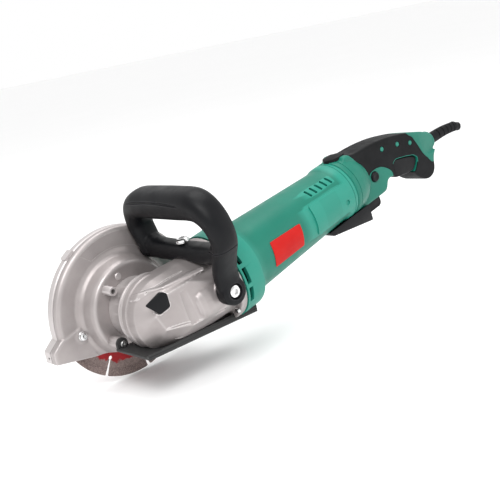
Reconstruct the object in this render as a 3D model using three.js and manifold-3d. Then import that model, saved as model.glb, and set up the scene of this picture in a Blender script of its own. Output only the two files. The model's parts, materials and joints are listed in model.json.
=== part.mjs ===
// A hand-held wall chaser: one diamond blade in a two-piece guard, driven through a
// bevel gear head by a universal motor, with a front loop handle, a rear grip with a
// trigger, and a sole plate that swings about a front pin to set the cutting depth.
//
// The machine is laid out on two crossing axes that meet at the bevel gears' apex:
// the motor axis is X (rear is +X) and the spindle axis is Y (the blade is at +Y).
// The whole tool is then tipped so that the sole plate lies flat at Z = 0, and the
// origin is the point of the sole straight below the spindle axis. Millimetres.
import * as THREE from 'three';
import { ConvexGeometry } from 'three/addons/geometries/ConvexGeometry.js';
import { mergeVertices } from 'three/addons/utils/BufferGeometryUtils.js';
import Module from 'manifold-3d';

const wasm = await Module();
wasm.setup();

// Driving dimensions
const TILT = 12 * Math.PI / 180;    // motor axis above the sole plane
const SOLE_DROP = 31;               // spindle axis to the underside of the sole
const GAP = 0.3;                    // between pieces that touch
const BLADE_R = 75;
const BLADE_Y = 81.5;               // mid-plane of the blade
const BLADE_HALF = 1.2;
const ARBOR_R = 6;
const GUARD_R = 83.5;
const GUARD_SHIFT = { x: 3, z: -4 };  // guard centre from the spindle axis
const GUARD_NEAR = 71;
const GUARD_SEAM = 79;
const GUARD_FAR = 91;
const GUARD_WALL = 2.6;
const HUB_FACE = 54;                // raised hub of the guard, nearest face
const HUB_R = 47;
const HEAD_R = 38;                  // round end of the gear head about the spindle
const HEAD_FAR = 20;
const FLANGE_X = 66;                // gear case meets the motor housing
const FLANGE_R = 46;
const FLANGE_THICK = 8;
const HOUSING = { x0: 95, r0: 37.5, x1: 225, r1: 32.2, end: 253, endR: 33.5, wall: 3 };
const GRIP_HALF = 17;               // half width of the rear grip
const SKIN = 3;                     // rubber on the rear grip
const TEETH = { crown: 37, pinion: 11 };
const MODULE = 1.4;
const GEAR_INNER = 0.72;            // inner end of the teeth, as a share of the cone
const SPINDLE_R = 7;
const SHAFT_R = 5;
const PINION_SHAFT_R = 3.5;
const HANDLE_X = 48;                // plane of the front loop handle
const PIVOT = { x: -34, z: 6.6 };   // sole pivot, sole frame
const PIVOT_EAR = 6;
const SOLE = { x0: -40.5, x1: 94, near: -18, far: 39, thick: 3 };
const RAIL_HIGH = 8;                // near rail of the sole at its rear
const ARM = { y: 46.6, thick: 3, swing: 16 * Math.PI / 180 };
const CLAMP = { x: 57.5, z: -28 };  // depth clamp axis, tool frame

const MATERIALS = {
  cast: ['#c9bfbd', 0.42, 0.85],
  green: ['#2f9c83', 0.45, 0],
  black: ['#26272a', 0.55, 0],
  rubber: ['#1f2022', 0.85, 0],
  chrome: ['#dcdcdc', 0.15, 1],
  steel: ['#9b9b9b', 0.3, 1],
  dark_steel: ['#56575a', 0.45, 0.9],
  copper: ['#b0653a', 0.35, 1],
  carbon: ['#2c2c2c', 0.7, 0.1],
  red: ['#d8232a', 0.4, 0],
  segment: ['#96807a', 0.7, 0.4],
};

// ---------------------------------------------------------------- geometry helpers

function place(geometry, { x = 0, y = 0, z = 0, rx = 0, ry = 0, rz = 0 }) {
  const turn = new THREE.Matrix4().makeRotationFromEuler(new THREE.Euler(rx, ry, rz));
  return geometry.applyMatrix4(turn.setPosition(x, y, z));
}

// A closed triangle mesh with shared corners and nothing but positions
function weld(geometry) {
  const bare = geometry.clone();
  for (const name of Object.keys(bare.attributes)) {
    if (name !== 'position') bare.deleteAttribute(name);
  }
  return mergeVertices(bare, 1e-4);
}

function toSolid(geometry) {
  const bare = weld(geometry);
  return new wasm.Manifold(new wasm.Mesh({
    numProp: 3,
    vertProperties: new Float32Array(bare.attributes.position.array),
    triVerts: new Uint32Array(bare.index.array),
  }));
}

function toGeometry(solid) {
  const mesh = solid.getMesh();
  const geometry = new THREE.BufferGeometry();
  geometry.setAttribute('position', new THREE.BufferAttribute(mesh.vertProperties, 3));
  geometry.setIndex(new THREE.BufferAttribute(mesh.triVerts, 1));
  geometry.computeVertexNormals();
  return geometry;
}

function join(...pieces) {
  return pieces.map((p) => (p.isBufferGeometry ? toSolid(p) : p)).reduce((a, b) => a.add(b));
}

function cut(body, ...tools) {
  const start = body.isBufferGeometry ? toSolid(body) : body;
  return tools.map((t) => (t.isBufferGeometry ? toSolid(t) : t)).reduce((a, b) => a.subtract(b), start);
}

function meet(a, b) {
  return join(a).intersect(join(b));
}

function box(x0, x1, y0, y1, z0, z1) {
  const geometry = new THREE.BoxGeometry(x1 - x0, y1 - y0, z1 - z0);
  return geometry.translate((x0 + x1) / 2, (y0 + y1) / 2, (z0 + z1) / 2);
}

// Turned piece about Y from [radius, y] points; a bored one closes on itself
function turned(points, segments = 32) {
  const profile = points.map(([r, y]) => new THREE.Vector2(r, y));
  if (points[0][0] > 0) profile.push(profile[0].clone());
  return new THREE.LatheGeometry(profile, segments);
}

function disc(radius, y0, y1, segments = 32) {
  return turned([[0, y0], [radius, y0], [radius, y1], [0, y1]], segments);
}

function ring(outer, inner, y0, y1, segments = 32) {
  return turned([[inner, y0], [outer, y0], [outer, y1], [inner, y1]], segments);
}

// Moves a piece turned about Y onto the motor axis, so that y becomes x
function onMotorAxis(geometry) {
  return geometry.rotateZ(-Math.PI / 2);
}

// Side outline of [x, z] points, or a Shape in x and z, extruded from y0 to y1
function sidePlate(outline, y0, y1, bevel = 0) {
  const drawn = outline instanceof THREE.Shape;
  const shape = drawn ? outline : new THREE.Shape(outline.map(([x, z]) => new THREE.Vector2(x, z)));
  const options = {
    depth: y1 - y0 - 2 * bevel,
    bevelEnabled: bevel > 0,
    bevelThickness: bevel,
    bevelSize: bevel,
    bevelOffset: -bevel,
    bevelSegments: 1,
    curveSegments: 10,
  };
  return new THREE.ExtrudeGeometry(shape, options).rotateX(Math.PI / 2).translate(0, y1 - bevel, 0);
}

// A bar of elliptical section along a curve
function bar(points, halfWidth, halfHeight, steps, sides = 12) {
  const section = new THREE.Shape();
  for (let i = 0; i < sides; i += 1) {
    const a = (i / sides) * 2 * Math.PI;
    const corner = [halfWidth * Math.cos(a), halfHeight * Math.sin(a)];
    if (i === 0) section.moveTo(...corner);
    else section.lineTo(...corner);
  }
  const path = new THREE.CatmullRomCurve3(points.map((p) => new THREE.Vector3(...p)));
  return new THREE.ExtrudeGeometry(section, { extrudePath: path, steps });
}

// Closed body through rings of equally many points; the last ring joins the first
function ringBody(rings) {
  const count = rings[0].length;
  const positions = rings.flat(2);
  const index = [];
  for (let r = 0; r < rings.length; r += 1) {
    const next = (r + 1) % rings.length;
    for (let i = 0; i < count; i += 1) {
      const j = (i + 1) % count;
      const [a, b] = [r * count + i, r * count + j];
      const [c, d] = [next * count + i, next * count + j];
      index.push(a, d, b, a, c, d);
    }
  }
  const geometry = new THREE.BufferGeometry();
  geometry.setAttribute('position', new THREE.Float32BufferAttribute(positions, 3));
  geometry.setIndex(index);
  return geometry;
}

// Straight bevel gear about Y whose teeth all point at the apex, which is the origin
function bevelGear(teeth, mateTeeth, boreR, backY, phase) {
  const pitchR = (teeth * MODULE) / 2;
  const pitchY = (mateTeeth * MODULE) / 2;
  const cone = Math.hypot(pitchR, pitchY);
  const lift = (amount) => [pitchR + (amount * pitchY) / cone, pitchY - (amount * pitchR) / cone];
  const tip = lift(0.75 * MODULE);
  const root = lift(-0.95 * MODULE);
  const corners = [[root, -0.29], [tip, -0.13], [tip, 0.13], [root, 0.29]];
  const toothed = (scale) => {
    const points = [];
    for (let t = 0; t < teeth; t += 1) {
      for (const [[r, y], share] of corners) {
        const a = ((t + share + phase) / teeth) * 2 * Math.PI;
        points.push([r * scale * Math.cos(a), y * scale, r * scale * Math.sin(a)]);
      }
    }
    return points;
  };
  const plain = (r, y) => toothed(1).map(([x, , z]) => {
    const flat = Math.hypot(x, z);
    return [(x / flat) * r, y, (z / flat) * r];
  });
  const frontY = root[1] * GEAR_INNER + (teeth > mateTeeth ? 0.2 : -0.2);
  return ringBody([toothed(GEAR_INNER), toothed(1), plain(root[0] - 1, backY), plain(boreR, backY),
    plain(boreR, frontY)]);
}

// Pan-head screw along -Y: the head stands at y0, the shank runs to y0 + reach
function screw(headR, headHeight, shankR, reach) {
  return turned([[0, -headHeight], [headR * 0.8, -headHeight], [headR, 0], [shankR, 0],
    [shankR, reach], [0, reach]], 12);
}

// A closed ball bearing, drawn as one ring
function bearing(outer, inner, y0, y1) {
  return ring(outer, inner, y0, y1, 20);
}

// ---------------------------------------------------------------- scene graph

const machine = new THREE.Group();
machine.position.z = SOLE_DROP;
const tool = new THREE.Group();
tool.rotation.y = -TILT;
machine.add(tool);
const base = new THREE.Group();
base.position.z = -SOLE_DROP;
machine.add(base);

function add(group, name, look, piece, at = {}) {
  const [color, roughness, metalness] = MATERIALS[look];
  const geometry = piece.isBufferGeometry ? weld(piece) : toGeometry(piece);
  const mesh = new THREE.Mesh(geometry, new THREE.MeshStandardMaterial({ color, roughness, metalness }));
  mesh.name = name;
  mesh.position.set(at.x || 0, at.y || 0, at.z || 0);
  mesh.rotation.set(at.rx || 0, at.ry || 0, at.rz || 0);
  group.add(mesh);
  return mesh;
}

// Box given in the sole's frame, turned into the tool's frame
function soleBox(x0, x1, y0, y1, z0, z1) {
  return box(x0, x1, y0, y1, z0 - SOLE_DROP, z1 - SOLE_DROP).rotateY(TILT);
}

// ---------------------------------------------------------------- gear head

function circleAboutY(radius, y, from, to, count) {
  const points = [];
  for (let i = 0; i <= count; i += 1) {
    const a = THREE.MathUtils.degToRad(from + ((to - from) * i) / count);
    points.push(new THREE.Vector3(radius * Math.cos(a), y, radius * Math.sin(a)));
  }
  return points;
}

function circleAboutX(radius, x, count) {
  const points = [];
  for (let i = 0; i < count; i += 1) {
    const a = (i / count) * 2 * Math.PI;
    points.push(new THREE.Vector3(x, radius * Math.cos(a), radius * Math.sin(a)));
  }
  return points;
}

// Corners of the gear head's slanted near face
const NEAR_FACE = [[42, -36, 15], [42, -36, -17], [6, -31, -14], [-20, -24, -4], [-24, -23, 13],
  [-6, -27, 27], [18, -32, 28]];
const LOCK_BUTTON = [[-11, 33], [-6, 29], [-8, 15], [-20, 13], [-31, 29]];
const LOCK_PIN = { x: -15, z: 23 };
const CASE_SCREW_R = 41.5;

// Places of the four flange screws round the motor axis, as [y, z] pairs
const CASE_SCREWS = [45, 135, 225, 340].map((degrees) => {
  const a = THREE.MathUtils.degToRad(degrees);
  return [CASE_SCREW_R * Math.cos(a), CASE_SCREW_R * Math.sin(a)];
});

// Room for the sole plate, its near rail and its far shelf
function soleRoom() {
  const [x0, x1, low] = [-70, FLANGE_X + 60, -40];
  return join(
    soleBox(x0, x1, -60, ARM.y + ARM.thick + GAP, low, SOLE.thick + 0.6),
    soleBox(x0, x1, SOLE.near - GAP, SOLE.near + SOLE.thick + GAP, low, RAIL_HIGH + 0.6),
  );
}

function gearCase() {
  const hull = new ConvexGeometry([
    ...circleAboutY(HEAD_R, HEAD_FAR, 60, 300, 14),
    ...circleAboutY(HEAD_R, -3, 70, 290, 12),
    ...NEAR_FACE.map((p) => new THREE.Vector3(...p)),
    ...circleAboutX(HEAD_R - 1, FLANGE_X - FLANGE_THICK, 18),
  ]);
  const flange = onMotorAxis(disc(FLANGE_R - 1, FLANGE_X - FLANGE_THICK, FLANGE_X - GAP / 2, 32));
  const clampLug = place(disc(7, 18, ARM.y - GAP, 20), CLAMP);
  const handleLug = disc(13, -38, -20, 20).translate(HANDLE_X, 0, 0);
  const solid = join(hull, flange, clampLug, handleLug);
  return cut(
    solid,
    disc(27, -14, HEAD_FAR + 5, 32),                       // crown gear chamber
    disc(HEAD_R - 1 + GAP, HEAD_FAR, 60, 32),              // seat of the bearing box
    disc(11.3, -20, -13, 20),                              // spindle end bearing seat
    onMotorAxis(disc(12, 0, 33, 20)),                      // pinion chamber
    onMotorAxis(disc(15.3, 32, 43, 24)),                   // front bearing seat
    onMotorAxis(disc(33, 42, FLANGE_X + 1, 32)),           // air chamber ahead of the fan
    soleRoom(),
    sidePlate(LOCK_BUTTON, -60, -20),
    place(disc(2.7, -24, -10, 12), LOCK_PIN),
    place(disc(3.3, 26, 60, 16), CLAMP),
    place(disc(3.3, -60, -28, 16), { x: HANDLE_X }),
    disc(2.8, 20, 60, 12).rotateX(Math.PI / 2).translate(HANDLE_X, 0, 0),
    box(32, 44, -50, -20, -21.5, -17.5),                   // exhaust slot
  );
}

function bearingBox() {
  const outside = join(disc(HEAD_R - 1, HEAD_FAR + GAP, 27, 32), disc(31, 26, HUB_FACE - GAP, 32));
  const inside = turned([[0, 19], [17.3, 19], [17.3, 43], [13, 43], [13, 60], [0, 60]], 32);
  return cut(outside, inside, soleRoom());
}

// The button's outline drawn in by a twentieth, so that it slides in its pocket
function lockButton() {
  const middle = LOCK_BUTTON.reduce(([a, b], [x, z]) => [a + x / 5, b + z / 5], [0, 0]);
  const smaller = LOCK_BUTTON.map(([x, z]) => [
    middle[0] + (x - middle[0]) * 0.95,
    middle[1] + (z - middle[1]) * 0.95,
  ]);
  return sidePlate(smaller, -28.5, -23.6, 1);
}

add(tool, 'gear_case', 'cast', gearCase());
add(tool, 'bearing_box', 'cast', bearingBox());
add(tool, 'spindle_lock_button', 'black', lockButton());
add(tool, 'spindle_lock_pin', 'steel', disc(2.4, -23.3, -15.5, 12), LOCK_PIN);
for (const [i, [y, z]] of CASE_SCREWS.entries()) {
  add(tool, `case_screw_${i + 1}`, 'chrome', screw(3.2, 2.6, 1.8, 0.1),
    { x: FLANGE_X - FLANGE_THICK - GAP - 0.1, y, z, rz: -Math.PI / 2 });
}

// ---------------------------------------------------------------- spindle group

const BLADE_NEAR = BLADE_Y - BLADE_HALF - GAP;
const BLADE_FAR = BLADE_Y + BLADE_HALF + GAP;

function spindleShaft() {
  return turned([[0, -19], [6, -19], [6, -10], [SPINDLE_R, -10], [SPINDLE_R, 44], [10, 44], [10, 48],
    [SPINDLE_R, 48], [SPINDLE_R, 74], [ARBOR_R, 74], [ARBOR_R, 88], [0, 88]], 24);
}

function blade() {
  const slots = 9;
  const core = ring(BLADE_R, ARBOR_R + GAP, BLADE_Y - BLADE_HALF, BLADE_Y + BLADE_HALF, 64);
  const gullets = [];
  for (let i = 0; i < slots; i += 1) {
    const slot = box(57, 80, BLADE_Y - 5, BLADE_Y + 5, -1.1, 1.1);
    const keyhole = disc(3, BLADE_Y - 5, BLADE_Y + 5, 10).translate(57, 0, 0);
    gullets.push(join(slot, keyhole).rotate([0, (360 / slots) * i + 10.6, 0]));
  }
  return cut(core, ...gullets);
}

add(tool, 'spindle_shaft', 'steel', spindleShaft());
add(tool, 'spindle_end_bearing', 'steel', bearing(11, 6 + GAP, -19.7, -13));
add(tool, 'spindle_main_bearing', 'steel', bearing(17, SPINDLE_R + GAP, 28, 42.7));
add(tool, 'crown_gear', 'dark_steel', bevelGear(TEETH.crown, TEETH.pinion, SPINDLE_R + GAP, 19, 0));
add(tool, 'inner_flange', 'steel', turned([[ARBOR_R + GAP, 74.3], [16, 74.3], [17, 77],
  [17, BLADE_NEAR], [ARBOR_R + GAP, BLADE_NEAR]], 24));
add(tool, 'blade', 'segment', blade());
add(tool, 'outer_flange', 'steel', ring(17, ARBOR_R + GAP, BLADE_FAR, 85, 24));
add(tool, 'flange_nut', 'dark_steel', ring(12, 7.3, 85.3, 87.8, 6));

// ---------------------------------------------------------------- guard

// Lug at the front of the guard: [x, z] in the sole's frame
const NOSE = [[-90, -2], [-90, 12], [-79, 21.5], [-50, 21.5], [-50, -9]];

// What the guard's lower edge leaves away, in the sole's frame: it dips towards the pivot
const GUARD_EDGE = [[-160, -90], [-160, 12], [-91, 0.5], [-44, -7.5], [-20, -7.5], [10, 0], [160, 0],
  [160, -90]];

function guardDisc(radius, y0, y1) {
  return disc(radius, y0, y1, 48).translate(GUARD_SHIFT.x, 0, GUARD_SHIFT.z);
}

// One dish of the guard: a disc and the front lug, hollow towards the seam
function guardHalf(y0, y1, hollow0, hollow1) {
  const lug = sidePlate(NOSE, y0, y1).translate(0, 0, -SOLE_DROP).rotateY(TILT);
  return cut(join(guardDisc(GUARD_R, y0, y1), lug), guardDisc(GUARD_R - GUARD_WALL, hollow0, hollow1));
}

const belowGuard = () => sidePlate(GUARD_EDGE, 0, 110).translate(0, 0, -SOLE_DROP).rotateY(TILT);
const SPOUT = { x: -22, z: 32 };

function guardInnerHalf() {
  const dish = guardHalf(GUARD_NEAR, GUARD_SEAM - GAP / 2, GUARD_NEAR + GUARD_WALL, GUARD_SEAM + 1);
  const hub = turned([[0, HUB_FACE], [HUB_R, HUB_FACE], [51, 64], [52, GUARD_NEAR + 1],
    [0, GUARD_NEAR + 1]], 32);
  const hollow = turned([[0, HUB_FACE + 3], [43, HUB_FACE + 3], [48, 66], [49, 76], [0, 76]], 32);
  const spout = place(disc(4.5, 40, HUB_FACE + 1, 16), SPOUT);
  const spoutBore = place(disc(2.3, 39, HUB_FACE + 6, 12), SPOUT);
  const handleBoss = disc(8, GUARD_NEAR - 0.2, GUARD_NEAR + 6, 16).translate(HANDLE_X, 0, 40);
  const toTool = (piece) => piece.translate(PIVOT.x, 0, PIVOT.z - SOLE_DROP).rotateY(TILT);
  const pivotLug = toTool(disc(PIVOT_EAR - 0.5, SOLE.far + GAP, GUARD_NEAR + 2, 20));
  return cut(
    join(cut(join(dish, hub), hollow), spout, handleBoss, pivotLug),
    spoutBore,
    toTool(disc(2.8, 0, 52, 16)),
    disc(12.5, 40, 70, 24),
    disc(2.8, 60, GUARD_NEAR + 5, 12).translate(HANDLE_X, 0, 40),
    belowGuard(),
  );
}

function guardOuterHalf() {
  const dish = guardHalf(GUARD_SEAM + GAP / 2, GUARD_FAR, GUARD_SEAM - 1, GUARD_FAR - GUARD_WALL);
  return cut(dish, belowGuard());
}

add(tool, 'guard_inner_half', 'cast', guardInnerHalf());
add(tool, 'guard_outer_half', 'cast', guardOuterHalf());

// Screws that close the guard, seated on the annulus round its hub
const GUARD_SCREWS = { front: [-57.5, -1], top: [66, 27], rear: [50, -29] };
for (const [name, [x, z]] of Object.entries(GUARD_SCREWS)) {
  add(tool, `guard_screw_${name}`, 'chrome', screw(5, 3.4, 2.2, 0.1), { x, y: GUARD_NEAR - GAP - 0.1, z });
}

// ---------------------------------------------------------------- front loop handle

const GRIP_Z = 92;        // axis of the front grip bar
const CROSS_Z = 40.5;     // axis of the lower cross bar
const FOOT = { near: -52, inner: -38.3, far: GUARD_NEAR - 0.6 };

function frontHandle() {
  const at = (y, z) => [HANDLE_X, y, z];
  const nearLeg = [at(-45, 0), at(-46, 18), at(-56, 37), at(-66, 54), at(-67, 70), at(-59, 85),
    at(-46, GRIP_Z)];
  const farLeg = [at(58, 36), at(61, 52), at(62.5, 69), at(57, 85.5), at(43, GRIP_Z)];
  const nearFoot = disc(13.5, FOOT.near, FOOT.inner, 24).translate(HANDLE_X, 0, 0);
  const farFoot = disc(10, 48, FOOT.far, 20).translate(HANDLE_X, 0, 40);
  const boltBoss = disc(9, 41, 51.5, 20).rotateX(Math.PI / 2).translate(HANDLE_X, 0, 0);
  const body = join(
    bar(nearLeg, 9, 13, 10),
    bar(farLeg, 9, 13, 7),
    bar([at(-52, 91), at(-20, GRIP_Z), at(20, GRIP_Z), at(50, 91)], 15.4, 15.4, 4),
    bar([at(-57, CROSS_Z), at(60, CROSS_Z)], 10, 10, 1),
    nearFoot,
    farFoot,
    boltBoss,
  );
  return cut(
    body,
    onMotorAxis(disc(HEAD_R + 1, 20, 80, 32)),
    onMotorAxis(disc(FLANGE_R + GAP, FLANGE_X - FLANGE_THICK - GAP, 80, 32)),
    disc(3.3, -60, -30, 16).translate(HANDLE_X, 0, 0),
    disc(7.5, -60, FOOT.near + 3, 16).translate(HANDLE_X, 0, 0),
    disc(3.3, 30, 90, 16).translate(HANDLE_X, 0, 40),
    disc(7.5, 30, 55, 16).translate(HANDLE_X, 0, 40),
    disc(3.3, 20, 70, 16).rotateX(Math.PI / 2).translate(HANDLE_X, 0, 0),
    box(0, 100, FOOT.far, 100, 0, 70),
    box(0, 100, FOOT.inner, 0, -30, 25),
  );
}
add(tool, 'front_handle', 'black', frontHandle());
add(tool, 'handle_bolt_near', 'chrome', screw(6.5, 4.5, 3, 18), { x: HANDLE_X, y: FOOT.near + 2.7 });
add(tool, 'handle_bolt_far', 'chrome', screw(6.5, 4.5, 2.5, 18), { x: HANDLE_X, y: 54.7, z: 40 });
add(tool, 'handle_bolt_top', 'chrome', screw(6, 4.5, 2.5, 18), { x: HANDLE_X, z: 51.8, rx: -Math.PI / 2 });

// ---------------------------------------------------------------- motor

// Outside radius of the motor housing behind its flange
function housingR(x) {
  const share = (x - HOUSING.x0) / (HOUSING.x1 - HOUSING.x0);
  return HOUSING.r0 + (HOUSING.r1 - HOUSING.r0) * share;
}

function motorHousing() {
  const outer = onMotorAxis(turned([[0, FLANGE_X + GAP / 2], [FLANGE_R, FLANGE_X + GAP / 2],
    [FLANGE_R, 90], [FLANGE_R - 2, 93], [HOUSING.r0, HOUSING.x0], [HOUSING.r1, HOUSING.x1],
    [HOUSING.endR, 242], [HOUSING.endR, HOUSING.end], [0, HOUSING.end]], 30));
  const bore = onMotorAxis(turned([[0, FLANGE_X - 1], [FLANGE_R - 5, FLANGE_X - 1], [FLANGE_R - 5, 88],
    [HOUSING.r0 - HOUSING.wall, HOUSING.x0], [HOUSING.r1 - HOUSING.wall, HOUSING.x1],
    [HOUSING.r1 - HOUSING.wall, HOUSING.end + 1], [0, HOUSING.end + 1]], 30));
  const openings = [];
  for (const side of [0, 180]) {
    for (const turn of [-27, 0, 27]) {
      openings.push(join(box(68.5, 73, -60, -30, -7, 7)).rotate([turn + side - 8, 0, 0]));
    }
    for (let i = 0; i < 5; i += 1) {
      const x = 193 + 10.2 * i;
      openings.push(join(box(x, x + 4.8, -50, -20, -7, 7)).rotate([side === 0 ? -51 : 231, 0, 0]));
    }
  }
  return cut(outer, bore, soleRoom(), ...openings);
}

// Thin plate lying on the near side of the housing
function labelPlate() {
  const [x0, x1] = [112, 168];
  const skin = turned([[housingR(x0) + GAP, x0], [housingR(x0) + 0.8, x0], [housingR(x1) + 0.8, x1],
    [housingR(x1) + GAP, x1]], 36);
  return meet(onMotorAxis(skin), sidePlate([[116, -15], [161, -15], [163, 10], [117, 12]], -50, 0));
}

function topPad() {
  const [inner, outer] = [HOUSING.endR + 0.5, HOUSING.endR + 3.5];
  const skin = turned([[inner, 248], [outer, 252], [outer, 268], [inner, 276]], 36);
  return meet(onMotorAxis(skin), box(200, 300, -11, 11, 20, 50));
}

function coolingFan() {
  const disk = onMotorAxis(turned([[SHAFT_R + GAP, 72], [12, 72], [30, 84], [38, 84], [38, 86],
    [SHAFT_R + GAP, 86]], 24));
  const vanes = [];
  for (let i = 0; i < 10; i += 1) {
    vanes.push(join(box(73, 85, -1, 1, 14, 37)).rotate([36 * i, 0, 0]));
  }
  return join(disk, ...vanes);
}

add(tool, 'motor_housing', 'green', motorHousing());
add(tool, 'label_plate', 'red', labelPlate());
add(tool, 'top_pad', 'rubber', topPad());
add(tool, 'stator', 'dark_steel', onMotorAxis(ring(30.5, 22, 102, 158, 24)));
add(tool, 'air_baffle', 'black',
  onMotorAxis(turned([[29, 88.5], [38, 88.5], [38, 89.5], [33, 94], [29, 94]], 24)));
add(tool, 'armature_shaft', 'steel', onMotorAxis(turned([[0, 17.5], [PINION_SHAFT_R, 17.5],
  [PINION_SHAFT_R, 32.3], [SHAFT_R, 32.3], [SHAFT_R, 208], [0, 208]], 20)));
add(tool, 'pinion_gear', 'dark_steel',
  onMotorAxis(bevelGear(TEETH.pinion, TEETH.crown, PINION_SHAFT_R + GAP, 31.5, 0)));
add(tool, 'front_ball_bearing', 'steel', onMotorAxis(bearing(15, SHAFT_R + GAP, 33, 42.7)));
add(tool, 'cooling_fan', 'black', coolingFan());
add(tool, 'armature_core', 'copper', onMotorAxis(turned([[SHAFT_R + GAP, 96], [14, 96], [21, 103],
  [21, 156], [14, 164], [SHAFT_R + GAP, 164]], 24)));
add(tool, 'commutator', 'copper', onMotorAxis(ring(12.5, SHAFT_R + GAP, 169, 186, 24)));
add(tool, 'rear_ball_bearing', 'steel', onMotorAxis(bearing(13, SHAFT_R + GAP, 196, 204)));

// A carbon brush and its holder on each side of the commutator
for (const [name, side] of [['near', -1], ['far', 1]]) {
  const span = (a, b) => [Math.min(side * a, side * b), Math.max(side * a, side * b)];
  const [b0, b1] = span(13, 23);
  const [h0, h1] = span(14.5, 28.5);
  add(tool, `brush_${name}`, 'carbon', box(173.5, 181.5, b0, b1, -3, 3));
  add(tool, `brush_holder_${name}`, 'black',
    cut(box(170.5, 184.5, h0, h1, -6, 6), box(173, 182, h0 - 1, h1 + 1, -3.5, 3.5)));
}

// ---------------------------------------------------------------- rear handle

// Side outline of the grip, [x, z], clockwise from the top of the motor end
const GRIP_TOP = [[253.3, 30], [270, 30.5], [284, 30], [312, 28], [339, 23.5], [364, 16.6], [381, 10.7],
  [397, 4], [407, -1.5], [415, -7], [420, -12], [420.5, -21]];
const GRIP_REAR = [[413, -24.5], [407, -30], [403.5, -37], [401.5, -44], [396.5, -50], [388, -52],
  [380, -49.5], [372, -43], [366, -35], [362, -29], [352, -27.5], [342, -25.5], [329, -21]];
const BOSS = [[321, -21], [315, -29], [307, -31], [280, -31], [271, -33], [253.3, -33.5]];
const GRIP = [...GRIP_TOP, ...GRIP_REAR, ...BOSS];

// The part of the outline that the rubber covers
const RUBBER = [[266, 60], [284, 16], [286, 1], [287.5, -6], [296, 0], [308, 0.5], [318, -3], [328, -12],
  [330, -22], [328, -40], [360, -75], [425, -75], [425, -40], [400.5, -37], [393, -28], [387, -19],
  [382.5, -7], [377, 6], [370, 15], [362, 50]];

// The trigger, its window in the rubber, and the room that it rises into behind the rubber
const TRIGGER = [[335.2, -9.5], [341, -6], [358, -11], [370, -15.3], [374, -19.5], [372, -24.5],
  [364, -28.5], [352, -28.5], [335.2, -24.5]];
const TRIGGER_WINDOW = [[334, -7.5], [340, -4.5], [358, -9.3], [371, -14], [376, -19], [374, -25],
  [366, -33], [334, -33]];
const TRIGGER_ROOM = [[333.5, -4.5], [340, -1.5], [358, -5.5], [374, -10.5], [379, -16], [377, -24],
  [367, -33], [333.5, -33]];
const TRIGGER_HALF = 13.8;
const TRIGGER_PIN = { x: 341, z: -12 };
const BUTTON = { x: 300.5, z: -6.7, r: 5.6 };
const CAVITY = [[245, 22], [284, 22], [315, 18.5], [340, 14], [366, 6], [382, -1], [400, -11], [396, -24],
  [370, -22], [335, -16], [318, -16], [300, -18], [280, -22], [245, -22]];

// The outline drawn in all round by an even distance
function drawnIn(distance) {
  return GRIP.map(([x, z], i) => {
    const [ax, az] = GRIP[(i + GRIP.length - 1) % GRIP.length];
    const [bx, bz] = GRIP[(i + 1) % GRIP.length];
    const length = Math.hypot(bx - ax, bz - az);
    return [x + ((bz - az) / length) * distance, z - ((bx - ax) / length) * distance];
  });
}

function gripRubber() {
  const outer = meet(sidePlate(GRIP, -GRIP_HALF, GRIP_HALF, 5), sidePlate(RUBBER, -30, 30));
  const [depth, half] = [SKIN - GAP, GRIP_HALF - SKIN + GAP];
  return cut(outer, sidePlate(drawnIn(depth), -half, half, 2), sidePlate(TRIGGER_WINDOW, -30, 30));
}

// Both moulded shells as one body, before it is parted along the middle
function handleShells() {
  const bare = cut(sidePlate(GRIP, -GRIP_HALF, GRIP_HALF, 5), sidePlate(RUBBER, -30, 30));
  const core = sidePlate(drawnIn(SKIN), -GRIP_HALF + SKIN, GRIP_HALF - SKIN, 2);
  const drum = onMotorAxis(turned([[0, HOUSING.end + GAP], [HOUSING.endR, HOUSING.end + GAP],
    [HOUSING.endR - 0.5, 264], [29, 271], [0, 271]], 36));
  return cut(
    join(bare, core, drum),
    sidePlate(CAVITY, -10.5, 10.5),
    bar([CORD_PATH[0], CORD_PATH[1], [428, 0, -18.3]], 5.3, 5.3, 2),
    sidePlate(TRIGGER_ROOM, -TRIGGER_HALF - 0.4, TRIGGER_HALF + 0.4),
    disc(BUTTON.r + 0.5, -30, -10, 20).translate(BUTTON.x, 0, BUTTON.z),
    onMotorAxis(disc(24, 245, 257, 24)),
  );
}

// Middle line of the cord boot, from inside the cap to its open tip
const CORD_PATH = [[398, 0, -15.5], [420, 0, -17.4], [450, 0, -19.5], [471, 0, -22.8], [480, 0, -26.6]];

function cordBoot() {
  const [inside, exit, middle, end, tip] = CORD_PATH;
  const sleeve = bar([[422.6, 0, -17.7], middle, end], 6.8, 6.8, 6);
  const root = bar([[408, 0, -16.4], exit, [425, 0, -18]], 4.9, 4.9, 2);
  const collar = bar([end, tip], 4.8, 4.8, 1);
  return cut(join(sleeve, root, collar), bar([inside, exit, middle, end, tip, [484, 0, -28.3]], 3.4, 3.4, 8));
}

function trigger() {
  const bore = disc(2.3, -15, 15, 12).translate(TRIGGER_PIN.x, 0, TRIGGER_PIN.z);
  return cut(sidePlate(TRIGGER, -TRIGGER_HALF, TRIGGER_HALF, 2), bore);
}

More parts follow.
